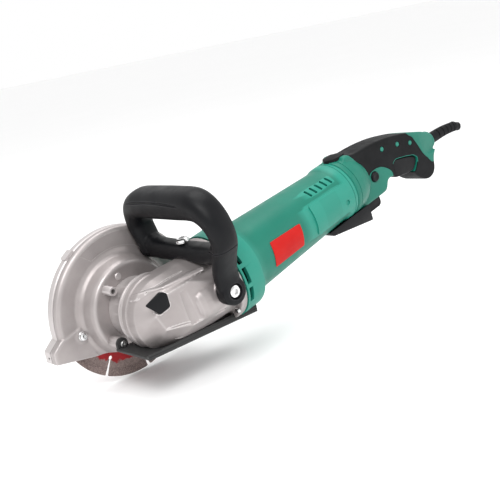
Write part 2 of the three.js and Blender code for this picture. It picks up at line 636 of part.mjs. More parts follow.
const shells = handleShells();
add(tool, 'handle_shell_near', 'green', meet(shells, box(200, 520, -60, -GAP / 2, -90, 90)));
add(tool, 'handle_shell_far', 'green', meet(shells, box(200, 520, GAP / 2, 60, -90, 90)));
add(tool, 'grip_rubber', 'rubber', gripRubber());
add(tool, 'cord_boot', 'rubber', cordBoot());
add(tool, 'trigger', 'black', trigger());
add(tool, 'trigger_pin', 'steel', disc(1.9, -13.9, 13.9, 12), TRIGGER_PIN);
add(tool, 'switch_body', 'black', box(340, 362, -9, 9, -2.5, 5));
add(tool, 'lock_on_button', 'black', join(disc(BUTTON.r, -19.5, -11.5, 20), disc(3, -12, -6, 12)),
  { x: BUTTON.x, z: BUTTON.z });

// ---------------------------------------------------------------- rests under the rear

function rearFoot() {
  const wedge = sidePlate([[208, -28], [211, -33.4], [274, -46.8], [275, -28]], -21, 21, 1);
  const motor = turned([[0, 190], [housingR(190) + GAP, 190], [HOUSING.r1 + 0.6, HOUSING.x1],
    [HOUSING.endR + 0.5, 241], [HOUSING.endR + 0.5, 280], [0, 280]], 36);
  return cut(wedge, onMotorAxis(motor), box(250, 300, -17.4, 17.4, -34, 0));
}

add(tool, 'bumper_block', 'rubber',
  sidePlate([[281, -31.4], [281, -42], [299, -42], [302, -39], [302, -31.4]], -13, 13, 1));
add(tool, 'rear_foot', 'black', rearFoot());

// ---------------------------------------------------------------- sole and depth setting

// The clamp axis in the sole's frame, and the slotted arc round the sole pivot through it
const CLAMP_SOLE = {
  x: CLAMP.x * Math.cos(TILT) - CLAMP.z * Math.sin(TILT),
  z: CLAMP.x * Math.sin(TILT) + CLAMP.z * Math.cos(TILT) + SOLE_DROP,
};

function depthArm() {
  const [dx, dz] = [CLAMP_SOLE.x - PIVOT.x, CLAMP_SOLE.z - PIVOT.z];
  const [r, start] = [Math.hypot(dx, dz), Math.atan2(dz, dx)];
  const arc = (half, overrun) => {
    const shape = new THREE.Shape();
    shape.absarc(PIVOT.x, PIVOT.z, r + half, start - overrun, start + ARM.swing + overrun, false);
    shape.absarc(PIVOT.x, PIVOT.z, r - half, start + ARM.swing + overrun, start - overrun, true);
    return shape;
  };
  const band = sidePlate(arc(8, 0.1), ARM.y, ARM.y + ARM.thick);
  const slot = sidePlate(arc(3.5, 0.035), ARM.y - 1, ARM.y + ARM.thick + 1);
  return cut(join(band, box(52, 88, ARM.y, ARM.y + ARM.thick, 0, 8)), slot);
}

function solePlate() {
  const ear = join(
    disc(PIVOT_EAR, SOLE.far - 3.2, SOLE.far, 20).translate(PIVOT.x, 0, PIVOT.z),
    box(PIVOT.x - PIVOT_EAR, PIVOT.x + PIVOT_EAR, SOLE.far - 3.2, SOLE.far, 0, PIVOT.z),
  );
  const rail = [[SOLE.x0, 0], [SOLE.x1, 0], [SOLE.x1, RAIL_HIGH], [SOLE.x0, 5]];
  const plate = join(
    box(SOLE.x0, SOLE.x1, SOLE.near, SOLE.far, 0, SOLE.thick),
    box(50, SOLE.x1, SOLE.far - 1, ARM.y + ARM.thick, 0, SOLE.thick),
    sidePlate(rail, SOLE.near, SOLE.near + SOLE.thick),
    ear,
    depthArm(),
  );
  return cut(plate, disc(2.8, 30, 40, 16).translate(PIVOT.x, 0, PIVOT.z));
}

add(base, 'sole_plate', 'black', solePlate());
add(base, 'sole_pivot_pin', 'steel',
  join(disc(2.5, 33, 51, 16), disc(3.2, 33, SOLE.far - 3.2 - GAP, 16)), PIVOT);
add(tool, 'depth_clamp_bolt', 'steel', disc(3, 27, 60, 16), CLAMP);
add(tool, 'depth_clamp_knob', 'black',
  cut(disc(12, ARM.y + ARM.thick + GAP, 62, 10), disc(3.3, 40, 61, 12)), CLAMP);

export default machine;
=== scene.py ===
"""Looks of a hand-held wall chaser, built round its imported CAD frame.

Shapes are drawn in millimetres in the tool's own frame, which has its origin where the
spindle axis (Y) meets the motor axis (X, rear is +X). TOOL carries them into the frame
of the part, where the sole plate lies flat at Z = 0.
"""

import json
import math

import bmesh
import bpy
from mathutils import Matrix, Vector


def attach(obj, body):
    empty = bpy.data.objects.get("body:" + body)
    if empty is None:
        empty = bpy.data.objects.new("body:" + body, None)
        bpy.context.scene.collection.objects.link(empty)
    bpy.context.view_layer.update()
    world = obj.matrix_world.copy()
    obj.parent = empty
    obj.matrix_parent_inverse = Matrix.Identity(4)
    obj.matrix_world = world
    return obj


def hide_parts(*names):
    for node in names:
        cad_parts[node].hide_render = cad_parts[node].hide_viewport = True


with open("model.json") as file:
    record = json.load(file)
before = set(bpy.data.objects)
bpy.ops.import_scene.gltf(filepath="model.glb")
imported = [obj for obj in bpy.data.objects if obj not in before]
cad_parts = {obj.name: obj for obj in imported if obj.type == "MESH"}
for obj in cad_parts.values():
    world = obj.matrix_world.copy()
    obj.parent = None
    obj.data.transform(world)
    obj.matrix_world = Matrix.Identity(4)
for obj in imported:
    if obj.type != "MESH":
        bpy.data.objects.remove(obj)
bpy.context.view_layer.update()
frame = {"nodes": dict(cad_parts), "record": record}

# ---------------------------------------------------------------- driving dimensions, mm

MM = 0.001
TILT = math.radians(12)
SOLE_DROP = 31.0
TOOL = (
    Matrix.Translation((0, 0, SOLE_DROP * MM))
    @ Matrix.Rotation(-TILT, 4, "Y")
    @ Matrix.Scale(MM, 4)
)
BASE = Matrix.Scale(MM, 4)

HEAD_R = 38
FLANGE_X = 66
FLANGE_R = 46
HOUSING_X0, HOUSING_R0 = 95, 37.5
HOUSING_X1, HOUSING_R1 = 225, 32.2
HOUSING_END, HOUSING_END_R = 253, 33.5
HUB_FACE = 54
GUARD_X, GUARD_Z, GUARD_R = 3, -4, 83.5
GUARD_NEAR, GUARD_SEAM, GUARD_FAR = 71, 79, 91
HANDLE_X = 48
GRIP_Z, CROSS_Z = 92, 40.5
GRIP_HALF = 17
GUARD_WALL = 2.6
BLADE_Y, BLADE_R = 81.5, 75
BLADE_RIM, BLADE_BORE = 66, 6.3
BLADE_SLOTS, BLADE_PHASE = 9, 10.6
PIVOT_X, PIVOT_Z, PIVOT_R = -34, 6.6, 6     # in the sole's frame
PIN_HOLE_R = 2.8
SOLE_X0, SOLE_X1 = -40.5, 94
SOLE_NEAR, SOLE_FAR = -18, 39
SOLE_TOP = 3
CLAMP_X, CLAMP_Z = 57.5, -28
LABEL_X0, LABEL_X1 = 112, 168
SHARP = math.radians(40)                    # edges steeper than this stay sharp

# ---------------------------------------------------------------- mesh building


def made(name, vertices, faces):
    mesh = bpy.data.meshes.new(name)
    mesh.from_pydata([tuple(v) for v in vertices], [], faces)
    bm = bmesh.new()
    bm.from_mesh(mesh)
    bmesh.ops.recalc_face_normals(bm, faces=bm.faces)
    bm.to_mesh(mesh)
    bm.free()
    piece = bpy.data.objects.new(name, mesh)
    bpy.context.scene.collection.objects.link(piece)
    return piece


def hull(points):
    bm = bmesh.new()
    for p in points:
        bm.verts.new(p)
    result = bmesh.ops.convex_hull(bm, input=bm.verts)
    bmesh.ops.delete(bm, geom=result["geom_interior"], context="VERTS")
    mesh = bpy.data.meshes.new("hull")
    bm.to_mesh(mesh)
    bm.free()
    piece = bpy.data.objects.new("hull", mesh)
    bpy.context.scene.collection.objects.link(piece)
    return piece


def loft(rings, closed=False):
    """A skin over rings of equally many points, capped at both ends or joined round."""
    count = len(rings[0])
    vertices = [p for r in rings for p in r]
    faces = []
    for r in range(len(rings) - (0 if closed else 1)):
        a, b = r * count, ((r + 1) % len(rings)) * count
        for i in range(count):
            j = (i + 1) % count
            faces.append((a + i, a + j, b + j, b + i))
    if not closed:
        faces.append(tuple(range(count)))
        faces.append(tuple(range(len(vertices) - count, len(vertices))))
    return made("loft", vertices, faces)


def arc(cx, cz, radius, start, end, count):
    """Points on a circle from one angle to another, in degrees."""
    points = []
    for i in range(count + 1):
        a = math.radians(start + (end - start) * i / count)
        points.append((cx + radius * math.cos(a), cz + radius * math.sin(a)))
    return points


def rounded(corners, steps=5):
    """An outline of (x, z, radius) corners with each corner rounded off."""
    out = []
    count = len(corners)
    for i, (x, z, radius) in enumerate(corners):
        here = Vector((x, z))
        before = Vector(corners[i - 1][:2])
        after = Vector(corners[(i + 1) % count][:2])
        to_a, to_b = before - here, after - here
        reach = min(radius, 0.45 * to_a.length, 0.45 * to_b.length)
        start = here + to_a.normalized() * reach
        end = here + to_b.normalized() * reach
        if radius <= 0:
            out.append((x, z))
            continue
        for k in range(steps + 1):
            t = k / steps
            p = start * (1 - t) ** 2 + here * 2 * t * (1 - t) + end * t ** 2
            out.append((p.x, p.y))
    return out


def plate(outline, y0, y1):
    """A side outline of (x, z) points extruded from y0 to y1."""
    return loft([[(x, y, z) for x, z in outline] for y in (y0, y1)])


def block(x0, x1, y0, y1, z0, z1):
    return plate([(x0, z0), (x1, z0), (x1, z1), (x0, z1)], y0, y1)


def lathe(profile, segments=96, axis="Y", centre=(0, 0, 0)):
    """A solid turned about an axis from (radius, along) points."""
    points = list(profile)
    closed = points[0][0] > 0
    rings = []
    for k in range(segments):
        a = 2 * math.pi * k / segments
        c, s = math.cos(a), math.sin(a)
        if axis == "Y":
            rings.append([(r * c, t, r * s) for r, t in points])
        elif axis == "X":
            rings.append([(t, r * c, r * s) for r, t in points])
        else:
            rings.append([(r * c, r * s, t) for r, t in points])
    if closed:
        piece = closed_lathe(rings)
    else:
        piece = poled_lathe(rings)
    piece.data.transform(Matrix.Translation(centre))
    return piece


def closed_lathe(rings):
    count = len(rings[0])
    vertices = [p for r in rings for p in r]
    faces = []
    for r in range(len(rings)):
        a, b = r * count, ((r + 1) % len(rings)) * count
        for i in range(count):
            j = (i + 1) % count
            faces.append((a + i, a + j, b + j, b + i))
    return made("lathe", vertices, faces)


def poled_lathe(rings):
    """As closed_lathe, for a profile whose first and last points lie on the axis."""
    inner = [r[1:-1] for r in rings]
    count = len(inner[0])
    vertices = [p for r in inner for p in r] + [rings[0][0], rings[0][-1]]
    first, last = len(vertices) - 2, len(vertices) - 1
    faces = []
    for r in range(len(inner)):
        a, b = r * count, ((r + 1) % len(inner)) * count
        for i in range(count - 1):
            faces.append((a + i, a + i + 1, b + i + 1, b + i))
        faces.append((first, a, b))
        faces.append((last, b + count - 1, a + count - 1))
    return made("lathe", vertices, faces)


def disc(radius, y0, y1, x=0, z=0, segments=48):
    return lathe([(0, y0), (radius, y0), (radius, y1), (0, y1)], segments, centre=(x, 0, z))


def smooth_path(points, per_span=10):
    """Catmull-Rom curve through the points."""
    pts = [Vector(p) for p in points]
    pts = [pts[0] * 2 - pts[1]] + pts + [pts[-1] * 2 - pts[-2]]
    out = []
    for i in range(1, len(pts) - 2):
        a, b, c, d = pts[i - 1: i + 3]
        for k in range(per_span):
            t = k / per_span
            out.append(0.5 * (2 * b + (c - a) * t + (2 * a - 5 * b + 4 * c - d) * t * t
                              + (3 * b - a - 3 * c + d) * t ** 3))
    out.append(pts[-2])
    return out


def sweep(path, widths, heights, side, power=2.0, sides=40):
    """A bar along a path whose section is a superellipse: width along `side`."""
    rings = []
    count = len(path)
    side = Vector(side).normalized()
    for i, p in enumerate(path):
        tangent = (path[min(i + 1, count - 1)] - path[max(i - 1, 0)]).normalized()
        across = (side - tangent * side.dot(tangent)).normalized()
        up = tangent.cross(across)
        t = i / (count - 1)
        w, h = between(widths, t), between(heights, t)
        ring = []
        for k in range(sides):
            a = 2 * math.pi * k / sides
            c, s = math.cos(a), math.sin(a)
            cc = math.copysign(abs(c) ** (2 / power), c)
            ss = math.copysign(abs(s) ** (2 / power), s)
            ring.append(p + across * (w * cc) + up * (h * ss))
        rings.append(ring)
    return loft(rings)


def between(values, t):
    """Reads evenly spread values at t from 0 to 1; a plain number is itself."""
    if isinstance(values, (int, float)):
        return values
    spot = t * (len(values) - 1)
    i = min(int(spot), len(values) - 2)
    return values[i] + (values[i + 1] - values[i]) * (spot - i)


# ---------------------------------------------------------------- mesh finishing


def applied(piece):
    """Turns the modifiers of a piece into its mesh."""
    depsgraph = bpy.context.evaluated_depsgraph_get()
    mesh = bpy.data.meshes.new_from_object(piece.evaluated_get(depsgraph))
    piece.modifiers.clear()
    piece.data = mesh
    return piece


def boolean(body, others, operation):
    for other in others:
        step = body.modifiers.new("step", "BOOLEAN")
        step.operation = operation
        step.solver = "MANIFOLD"
        step.object = other
        applied(body)
        bpy.data.objects.remove(other)
    return body


def join(body, *others):
    return boolean(body, others, "UNION")


def cut(body, *others):
    return boolean(body, others, "DIFFERENCE")


def meet(body, *others):
    return boolean(body, others, "INTERSECT")


def copy(piece):
    twin = bpy.data.objects.new(piece.name, piece.data.copy())
    bpy.context.scene.collection.objects.link(twin)
    return twin


def melted(piece, voxel, rounds):
    """Rounds every edge and joint as a casting or moulding has them."""
    remesh = piece.modifiers.new("remesh", "REMESH")
    remesh.mode = "VOXEL"
    remesh.voxel_size = voxel
    soft = piece.modifiers.new("soft", "SMOOTH")
    soft.factor = 0.5
    soft.iterations = rounds
    return applied(piece)


def bevelled(piece, width, segments=3, angle=30):
    step = piece.modifiers.new("bevel", "BEVEL")
    step.width = width
    step.segments = segments
    step.limit_method = "ANGLE"
    step.angle_limit = math.radians(angle)
    step.harden_normals = False
    return applied(piece)


def swollen(piece, distance):
    """Moves the surface out, or in where distance is negative."""
    step = piece.modifiers.new("swell", "DISPLACE")
    step.strength = distance
    step.mid_level = 0
    return applied(piece)


def shaded(piece):
    """Smooth shading with true edges kept."""
    mesh = piece.data
    for polygon in mesh.polygons:
        polygon.use_smooth = True
    bm = bmesh.new()
    bm.from_mesh(mesh)
    for edge in bm.edges:
        if len(edge.link_faces) == 2 and edge.calc_face_angle(0) > SHARP:
            edge.smooth = False
    bm.to_mesh(mesh)
    bm.free()
    return piece


def shown(piece, name, material, body, stands_for, place=TOOL):
    """Puts a finished piece in place, on its body, for the CAD nodes that it stands for."""
    piece.name = name
    piece.data.name = name
    piece.data.transform(place)
    piece.data.materials.clear()
    piece.data.materials.append(material)
    shaded(piece)
    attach(piece, body)
    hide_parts(*stands_for)


# ---------------------------------------------------------------- materials


class Nodes:
    """A short way to write a node material."""

    def __init__(self, name):
        self.material = bpy.data.materials.new(name)
        self.material.use_nodes = True
        self.tree = self.material.node_tree
        self.shader = self.tree.nodes["Principled BSDF"]
        coordinates = self.tree.nodes.new("ShaderNodeTexCoord")
        self.place = coordinates.outputs["Object"]

    def link(self, source, target):
        self.tree.links.new(source, target)

    def noise(self, scale, detail=4, stretch=None):
        node = self.tree.nodes.new("ShaderNodeTexNoise")
        node.inputs["Scale"].default_value = scale
        node.inputs["Detail"].default_value = detail
        place = self.place
        if stretch:
            mapping = self.tree.nodes.new("ShaderNodeMapping")
            mapping.inputs["Scale"].default_value = stretch
            self.link(self.place, mapping.inputs["Vector"])
            place = mapping.outputs["Vector"]
        self.link(place, node.inputs["Vector"])
        return node.outputs["Fac"]

    def ramp(self, value, stops):
        """Colours at places from 0 to 1; a number is a grey."""
        node = self.tree.nodes.new("ShaderNodeValToRGB")
        ramp = node.color_ramp
        while len(ramp.elements) < len(stops):
            ramp.elements.new(0.5)
        for element, (spot, colour) in zip(ramp.elements, stops):
            grey = isinstance(colour, (int, float))
            element.position = spot
            element.color = (colour, colour, colour, 1) if grey else (*colour, 1)
        self.link(value, node.inputs["Fac"])
        return node.outputs["Color"]

    def mix(self, share, a, b):
        node = self.tree.nodes.new("ShaderNodeMix")
        node.data_type = "RGBA"
        for socket, value in ((node.inputs[6], a), (node.inputs[7], b)):
            if hasattr(value, "links"):
                self.link(value, socket)
            else:
                socket.default_value = (*value, 1)
        if hasattr(share, "links"):
            self.link(share, node.inputs[0])
        else:
            node.inputs[0].default_value = share
        return node.outputs[2]

    def maths(self, operation, a, b=0.0):
        node = self.tree.nodes.new("ShaderNodeMath")
        node.operation = operation
        for socket, value in zip(node.inputs, (a, b)):
            if hasattr(value, "links"):
                self.link(value, socket)
            else:
                socket.default_value = value
        return node.outputs[0]

    def edge_wear_and_sheen(self, low=0.5, high=0.56):
        """1 on the outer edges of a dense mesh, 0 elsewhere; the mask for edges painted paler, partly as
        wear and partly as painted highlight.
        """
        geometry = self.tree.nodes.new("ShaderNodeNewGeometry")
        return self.ramp(geometry.outputs["Pointiness"], [(low, 0.0), (high, 1.0)])

    def bump(self, height, strength, distance, below=None):
        node = self.tree.nodes.new("ShaderNodeBump")
        node.inputs["Strength"].default_value = strength
        node.inputs["Distance"].default_value = distance
        self.link(height, node.inputs["Height"])
        if below is not None:
            self.link(below, node.inputs["Normal"])
        return node.outputs["Normal"]

    def finish(self, colour=None, roughness=None, normal=None, metallic=0.0, specular=0.5):
        for value, socket in ((colour, "Base Color"), (roughness, "Roughness"), (normal, "Normal")):
            if value is not None:
                self.link(value, self.shader.inputs[socket])
        self.shader.inputs["Metallic"].default_value = metallic
        self.shader.inputs["Specular IOR Level"].default_value = specular
        return self.material


def cast_aluminium():
    n = Nodes("cast_aluminium")
    cloud = n.noise(28, 6)
    grain = n.noise(1700, 3)
    colour = n.ramp(cloud, [(0.3, (0.29, 0.262, 0.258)), (0.7, (0.37, 0.338, 0.333))])
    # edges painted paler: partly wear, partly painted highlight
    colour = n.mix(n.edge_wear_and_sheen(), colour, (0.50, 0.47, 0.465))
    roughness = n.ramp(n.noise(60, 5), [(0.3, 0.36), (0.7, 0.5)])
    normal = n.bump(grain, 0.16, 0.0003, n.bump(n.noise(240, 4), 0.12, 0.0008))
    return n.finish(colour, roughness, normal, metallic=0.6)


def moulded(name, dark, light, edge, roughness=(0.36, 0.5), grain=(2600, 0.12), specular=0.3):
    """Moulded plastic with a fine spark-eroded grain and paler edges, partly rubbed wear and partly
    painted highlight.
    """
    n = Nodes(name)
    colour = n.ramp(n.noise(18, 5), [(0.3, dark), (0.7, light)])
    # edges painted in the paler edge colour: partly rubbed wear, partly painted highlight
    colour = n.mix(n.edge_wear_and_sheen(0.52, 0.62), colour, edge)
    rough = n.ramp(n.noise(90, 4), [(0.3, roughness[0]), (0.7, roughness[1])])
    normal = n.bump(n.noise(grain[0], 2), grain[1], 0.0002)
    return n.finish(colour, rough, normal, specular=specular)


def metal(name, dark, light, roughness, stretch=(1, 1, 1)):
    n = Nodes(name)
    streaks = n.noise(900, 4, stretch)
    colour = n.ramp(streaks, [(0.3, dark), (0.7, light)])
    rough = n.ramp(n.noise(300, 3), [(0.3, roughness[0]), (0.7, roughness[1])])
    normal = n.bump(streaks, 0.08, 0.0002)
    return n.finish(colour, rough, normal, metallic=1.0)


def copper_windings():
    n = Nodes("copper_windings")
    strands = n.noise(500, 3, (0.3, 4, 4))
    colour = n.ramp(strands, [(0.3, (0.25, 0.08, 0.03)), (0.7, (0.62, 0.26, 0.12))])
    rough = n.ramp(strands, [(0.3, 0.45), (0.7, 0.28)])
    return n.finish(colour, rough, n.bump(strands, 0.4, 0.0006), metallic=0.9)


def blade_metal():
    """A ground steel core, worn red paint at its middle and gritty segments at its rim."""
    n = Nodes("diamond_blade")
    split = n.tree.nodes.new("ShaderNodeSeparateXYZ")
    n.link(n.place, split.inputs[0])
    z = n.maths("SUBTRACT", split.outputs["Z"], SOLE_DROP * MM)
    squares = n.maths("ADD", n.maths("POWER", split.outputs["X"], 2), n.maths("MULTIPLY", z, z))
    radius = n.maths("SQRT", squares)
    ragged = n.maths("ADD", radius, n.maths("MULTIPLY", n.noise(160, 6), 0.014))
    core = n.ramp(n.noise(700, 4), [(0.3, (0.17, 0.125, 0.115)), (0.7, (0.28, 0.215, 0.20))])
    paint = n.ramp(n.noise(120, 5), [(0.35, (0.26, 0.004, 0.008)), (0.7, (0.38, 0.006, 0.011))])
    painted = n.ramp(n.maths("MULTIPLY", ragged, 10), [(0.655, 1.0), (0.675, 0.0)])
    grit = n.ramp(n.noise(1500, 3), [(0.35, (0.10, 0.072, 0.066)), (0.65, (0.30, 0.23, 0.215))])
    rim = n.ramp(n.maths("MULTIPLY", radius, 10), [(0.655, 0.0), (0.665, 1.0)])
    colour = n.mix(rim, n.mix(painted, core, paint), grit)
    rough = n.ramp(rim, [(0, 0.42), (1, 0.75)])
    normal = n.bump(n.noise(1400, 3), 0.35, 0.0004)
    return n.finish(colour, rough, normal, metallic=0.35)


def label_film():
    n = Nodes("red_label")
    colour = n.ramp(n.noise(40, 3), [(0.3, (0.40, 0.007, 0.006)), (0.7, (0.45, 0.010, 0.007))])
    rough = n.ramp(n.noise(120, 3), [(0.3, 0.28), (0.7, 0.4)])
    return n.finish(colour, rough, n.bump(n.noise(900, 2), 0.05, 0.0001), specular=0.12)


def floor_surface():
    n = Nodes("studio_floor")
    colour = n.ramp(n.noise(3, 3), [(0.3, 0.95), (0.7, 0.96)])
    return n.finish(colour, n.ramp(n.noise(5, 2), [(0.3, 0.6), (0.7, 0.7)]))


CAST = cast_aluminium()
# the third colour of each moulded finish is its edge colour, painted paler: partly wear, partly painted
# highlight
GREEN = moulded("green_nylon", (0.003, 0.122, 0.084), (0.005, 0.150, 0.104), (0.015, 0.21, 0.155))
BLACK = moulded("black_nylon", (0.003, 0.0032, 0.004), (0.0052, 0.0055, 0.0068), (0.016, 0.016, 0.018),
                specular=0.16)
PAINT = moulded("black_paint", (0.003, 0.003, 0.0035), (0.006, 0.006, 0.007), (0.03, 0.03, 0.03),
                (0.3, 0.45), (900, 0.08), 0.16)
RUBBER = moulded("soft_rubber", (0.0042, 0.0045, 0.005), (0.0075, 0.008, 0.009), (0.014, 0.014, 0.015),
                 (0.5, 0.66), (1500, 0.3), 0.12)
CARBON = moulded("carbon", (0.01, 0.01, 0.01), (0.03, 0.03, 0.03), (0.05, 0.05, 0.05))
CHROME = metal("chrome", (0.62, 0.62, 0.62), (0.82, 0.82, 0.82), (0.12, 0.24))
STEEL = metal("ground_steel", (0.38, 0.38, 0.38), (0.56, 0.56, 0.55), (0.25, 0.4), (1, 8, 1))
DARK_STEEL = metal("dark_steel", (0.08, 0.08, 0.085), (0.15, 0.15, 0.155), (0.35, 0.5))
COPPER = copper_windings()
BLADE = blade_metal()
LABEL = label_film()

SLOT_LOOKS = {
    "cast_aluminium": CAST, "green_nylon": GREEN, "black_nylon": BLACK, "black_steel": PAINT,
    "soft_rubber": RUBBER, "red_label": LABEL, "chrome_screw": CHROME, "steel": STEEL,
    "dark_steel": DARK_STEEL, "copper": COPPER, "carbon": CARBON, "diamond_blade": BLADE,
}


def dress_cad_nodes():
    """Gives every CAD node the material of its slot."""
    for row in frame["record"]["subparts"]:
        node = frame["nodes"][row["node"]]
        node.data.materials.clear()
        node.data.materials.append(SLOT_LOOKS[row["material_slot"]])


# ---------------------------------------------------------------- gear head


def ring_points(radius, y, start, end, count):
    return [(x, y, z) for x, z in arc(0, 0, radius, start, end, count)]


def motor_ring(radius, x):
    return [(x, y, z) for y, z in arc(0, 0, radius, 0, 360, 48)]


BUTTON_OUTLINE = [(-11, 33, 2.5), (-6, 29, 2), (-8, 15, 2.5), (-20, 13, 2.5), (-31, 29, 2.5)]


def spread(corners, factor, radius):
    """The same outline grown or shrunk about its middle."""
    mx = sum(c[0] for c in corners) / len(corners)
    mz = sum(c[1] for c in corners) / len(corners)
    return [(mx + (x - mx) * factor, mz + (z - mz) * factor, radius) for x, z, _ in corners]


def gear_case():
    main = hull([
        *ring_points(HEAD_R - 1, 19.5, 60, 300, 48),
        *ring_points(HEAD_R - 1, -1, 70, 290, 44),
        (42, -35, 14), (42, -35, -16), (6, -30.5, -13), (-20, -24, -4), (-24, -23, 13),
        (-6, -27, 27), (18, -31, 27),
        *motor_ring(HEAD_R - 2, FLANGE_X - 9),
    ])
    ribs = lathe([(0, 12), (HEAD_R, 12), (HEAD_R, 14), (HEAD_R - 0.8, 14.6), (HEAD_R, 15.2),
                  (HEAD_R, 19.7), (0, 19.7)], 96)
    flange = lathe([(0, 58.2), (FLANGE_R - 2, 58.2), (FLANGE_R - 1, 59.4), (FLANGE_R - 1, 65.7),
                    (0, 65.7)], 96, "X")
    boss = disc(13, -37.7, -18, HANDLE_X, 0)
    lug = disc(7, 18, 46, CLAMP_X, CLAMP_Z)
    body = join(main, ribs, flange, boss, lug, upper_ledge(), fan_bulge())
    body = cut(body, valley(), block(32, 44, -50, -28, -21.5, -17.5))
    body = melted(body, 0.75, 4)
    pocket = plate(rounded(spread(BUTTON_OUTLINE, 1.04, 2.6)), -60, -20)
    well = disc(5.2, -60, -28, 46.3, -28.6)
    return bevelled(cut(body, pocket, well, *case_lines(), *sole_room()), 0.4, 2, 50)


def sole_room():
    """The space kept for the sole plate and for its near rail."""
    return [toward_sole(block(-70, 130, -60, 50, -40, 3.6)),
            toward_sole(block(-70, 130, -18.3, -14.7, -40, 8.6))]


def upper_ledge():
    """The raised band along the top of the near face."""
    return hull([(-26, -1, 28.5), (-27, 10, 27), (-3, -21.3, 29.8), (40, -32.6, 27.5), (40, -29, 30.5),
                 (-4, -20, 32.5), (-20, -3, 33.8), (-22, 10, 31)])


def fan_bulge():
    """The pillow-shaped swelling of the near face before the handle's boss."""
    path = [Vector((x, -24, -1)) for x in (14, 15.2, 18, 23, 30, 46)]
    return sweep(path, [6, 10.5, 14, 15.6, 16, 16], [6, 9.6, 11.6, 12.8, 13.4, 13.6], (0, 0, 1), 2.8)


def valley():
    """The shallow upright hollow across the near face, ahead of the swelling."""
    hollow = lathe([(0, -13), (10.7, -13), (10.7, 22), (0, 22)], 96, "Z", (6.5, -39.6, 0))
    return meet(hollow, block(-20, 30, -60, -20, -40, 40))


def case_lines():
    """Fine lines cut in the near face: two beside the ledge, one above the lower skirt."""
    routes = [
        [(-25.4, -1.5, 28.7), (-18.7, -7.3, 31.5), (-11.8, -9.8, 32.3), (-5.8, -14.1, 31.7),
         (-2.1, -20.7, 30.2)],
        [(-18.4, 0.5, 32.6), (-6.9, -10, 33), (8.6, -12.1, 33.3), (24.4, -14.8, 32.6)],
        [(-19.6, -24.1, -3.4), (-1.1, -28.7, -7.7), (10, -30.8, -12), (22, -33, -16.3)],
    ]
    return [sweep(smooth_path(route, 6), 0.55, 0.75, (0, 1, 0), sides=10) for route in routes]


def lock_button():
    body = plate(rounded(spread(BUTTON_OUTLINE, 0.95, 2.2)), -29, -23.7)
    lean = hull([(-40, -22.6, 40), (-40, -22.6, 0), (0, -29.4, 40), (0, -29.4, 0), (-40, -10, 40),
                 (-40, -10, 0), (0, -10, 40), (0, -10, 0)])
    return bevelled(meet(body, lean), 0.8, 3)


def bearing_box():
    outside = lathe([(0, 20.3), (HEAD_R - 1, 20.3), (HEAD_R - 1, 23.2), (HEAD_R - 2.2, 23.8),
                     (HEAD_R - 2.2, 25), (HEAD_R - 1.4, 25.6), (HEAD_R - 1.4, 27.6), (32, 28.4),
                     (31, 30), (31, HUB_FACE - 0.3), (0, HUB_FACE - 0.3)])
    bore = lathe([(0, 19), (17.3, 19), (17.3, 43), (13, 43), (13, 60), (0, 60)])
    return cut(outside, bore, *sole_room())


# ---------------------------------------------------------------- guard


def toward_sole(piece):
    """Turns a shape drawn in the sole's frame into the tool's."""
    piece.data.transform(Matrix.Rotation(TILT, 4, "Y") @ Matrix.Translation((0, 0, -SOLE_DROP)))
    return piece


def below_guard():
    """What the lower edge of the guard leaves away: it dips towards the pivot."""
    edge = [(-160, -90), (-160, 12), (-91, 0.5), (-44, -7.5), (-20, -7.5), (10, 0), (160, 0),
            (160, -90)]
    return toward_sole(plate(edge, 0, 110))


def guard_turned(profile):
    return lathe(profile, 160, centre=(GUARD_X, 0, GUARD_Z))


GUARD_SCREWS = {"front": (-57.5, -1), "top": (66, 27), "rear": (50, -29)}
NOSE = [(-90, -2, 0.5), (-90, 12, 1), (-79, 21.5, 2), (-50, 21.5, 1), (-50, -9, 0.5)]


def guard_inner():
    r = GUARD_R
    dish = guard_turned([(0, GUARD_NEAR), (r - 4.5, GUARD_NEAR), (r - 3.2, GUARD_NEAR + 0.3),
                         (r - 1, GUARD_NEAR + 1.6), (r - 0.3, GUARD_NEAR + 3.4),
                         (r - 0.3, GUARD_SEAM - 1.2), (r - 1.2, GUARD_SEAM - 0.15),
                         (0, GUARD_SEAM - 0.15)])
    nose = toward_sole(plate(rounded(NOSE), GUARD_NEAR - 0.8, GUARD_SEAM - 0.15))
    hub = lathe([(0, HUB_FACE), (44.5, HUB_FACE), (46.6, HUB_FACE + 0.8), (48.6, HUB_FACE + 4),
                 (50.8, 64), (52, 67.4), (55, 69.8), (60, GUARD_NEAR + 0.4), (0, GUARD_NEAR + 0.5)], 128)
    boss = disc(7.2, GUARD_NEAR - 1.6, GUARD_NEAR + 3, *GUARD_SCREWS["front"])
    body = join(dish, nose, hub, boss, nose_ridge())
    hollow = lathe([(0, HUB_FACE + 3), (43, HUB_FACE + 3), (48, 66), (49, 76), (0, 76)], 96)
    inside = guard_turned([(0, GUARD_NEAR + GUARD_WALL), (r - GUARD_WALL, GUARD_NEAR + GUARD_WALL),
                           (r - GUARD_WALL, 90), (0, 90)])
    body = cut(body, hollow, inside, disc(12.5, 40, 70))
    body = melted(body, 0.8, 5)
    spout = lathe([(0, 40), (4.1, 40), (4.5, 40.5), (4.6, 54), (5.6, 55.5), (0, 55.5)], 48,
                  centre=(-22, 0, 32))
    handle_boss = disc(8, GUARD_NEAR - 0.2, GUARD_NEAR + 4, HANDLE_X, 40)
    lug = toward_sole(disc(PIVOT_R - 0.5, SOLE_FAR + 0.3, GUARD_NEAR + 1, PIVOT_X, PIVOT_Z))
    ball = lathe([(0, 52.5), (3, 52.7), (3.6, 53.4), (3.6, 55), (0, 55)], 32, centre=(-4, 0, 37))
    body = join(body, spout, handle_boss, lug, ball)
    pin_hole = toward_sole(disc(PIN_HOLE_R, 0, 52, PIVOT_X, PIVOT_Z))
    return cut(body, disc(2.4, 39, 60, -22, 32), sector_step(), pin_hole, below_guard())


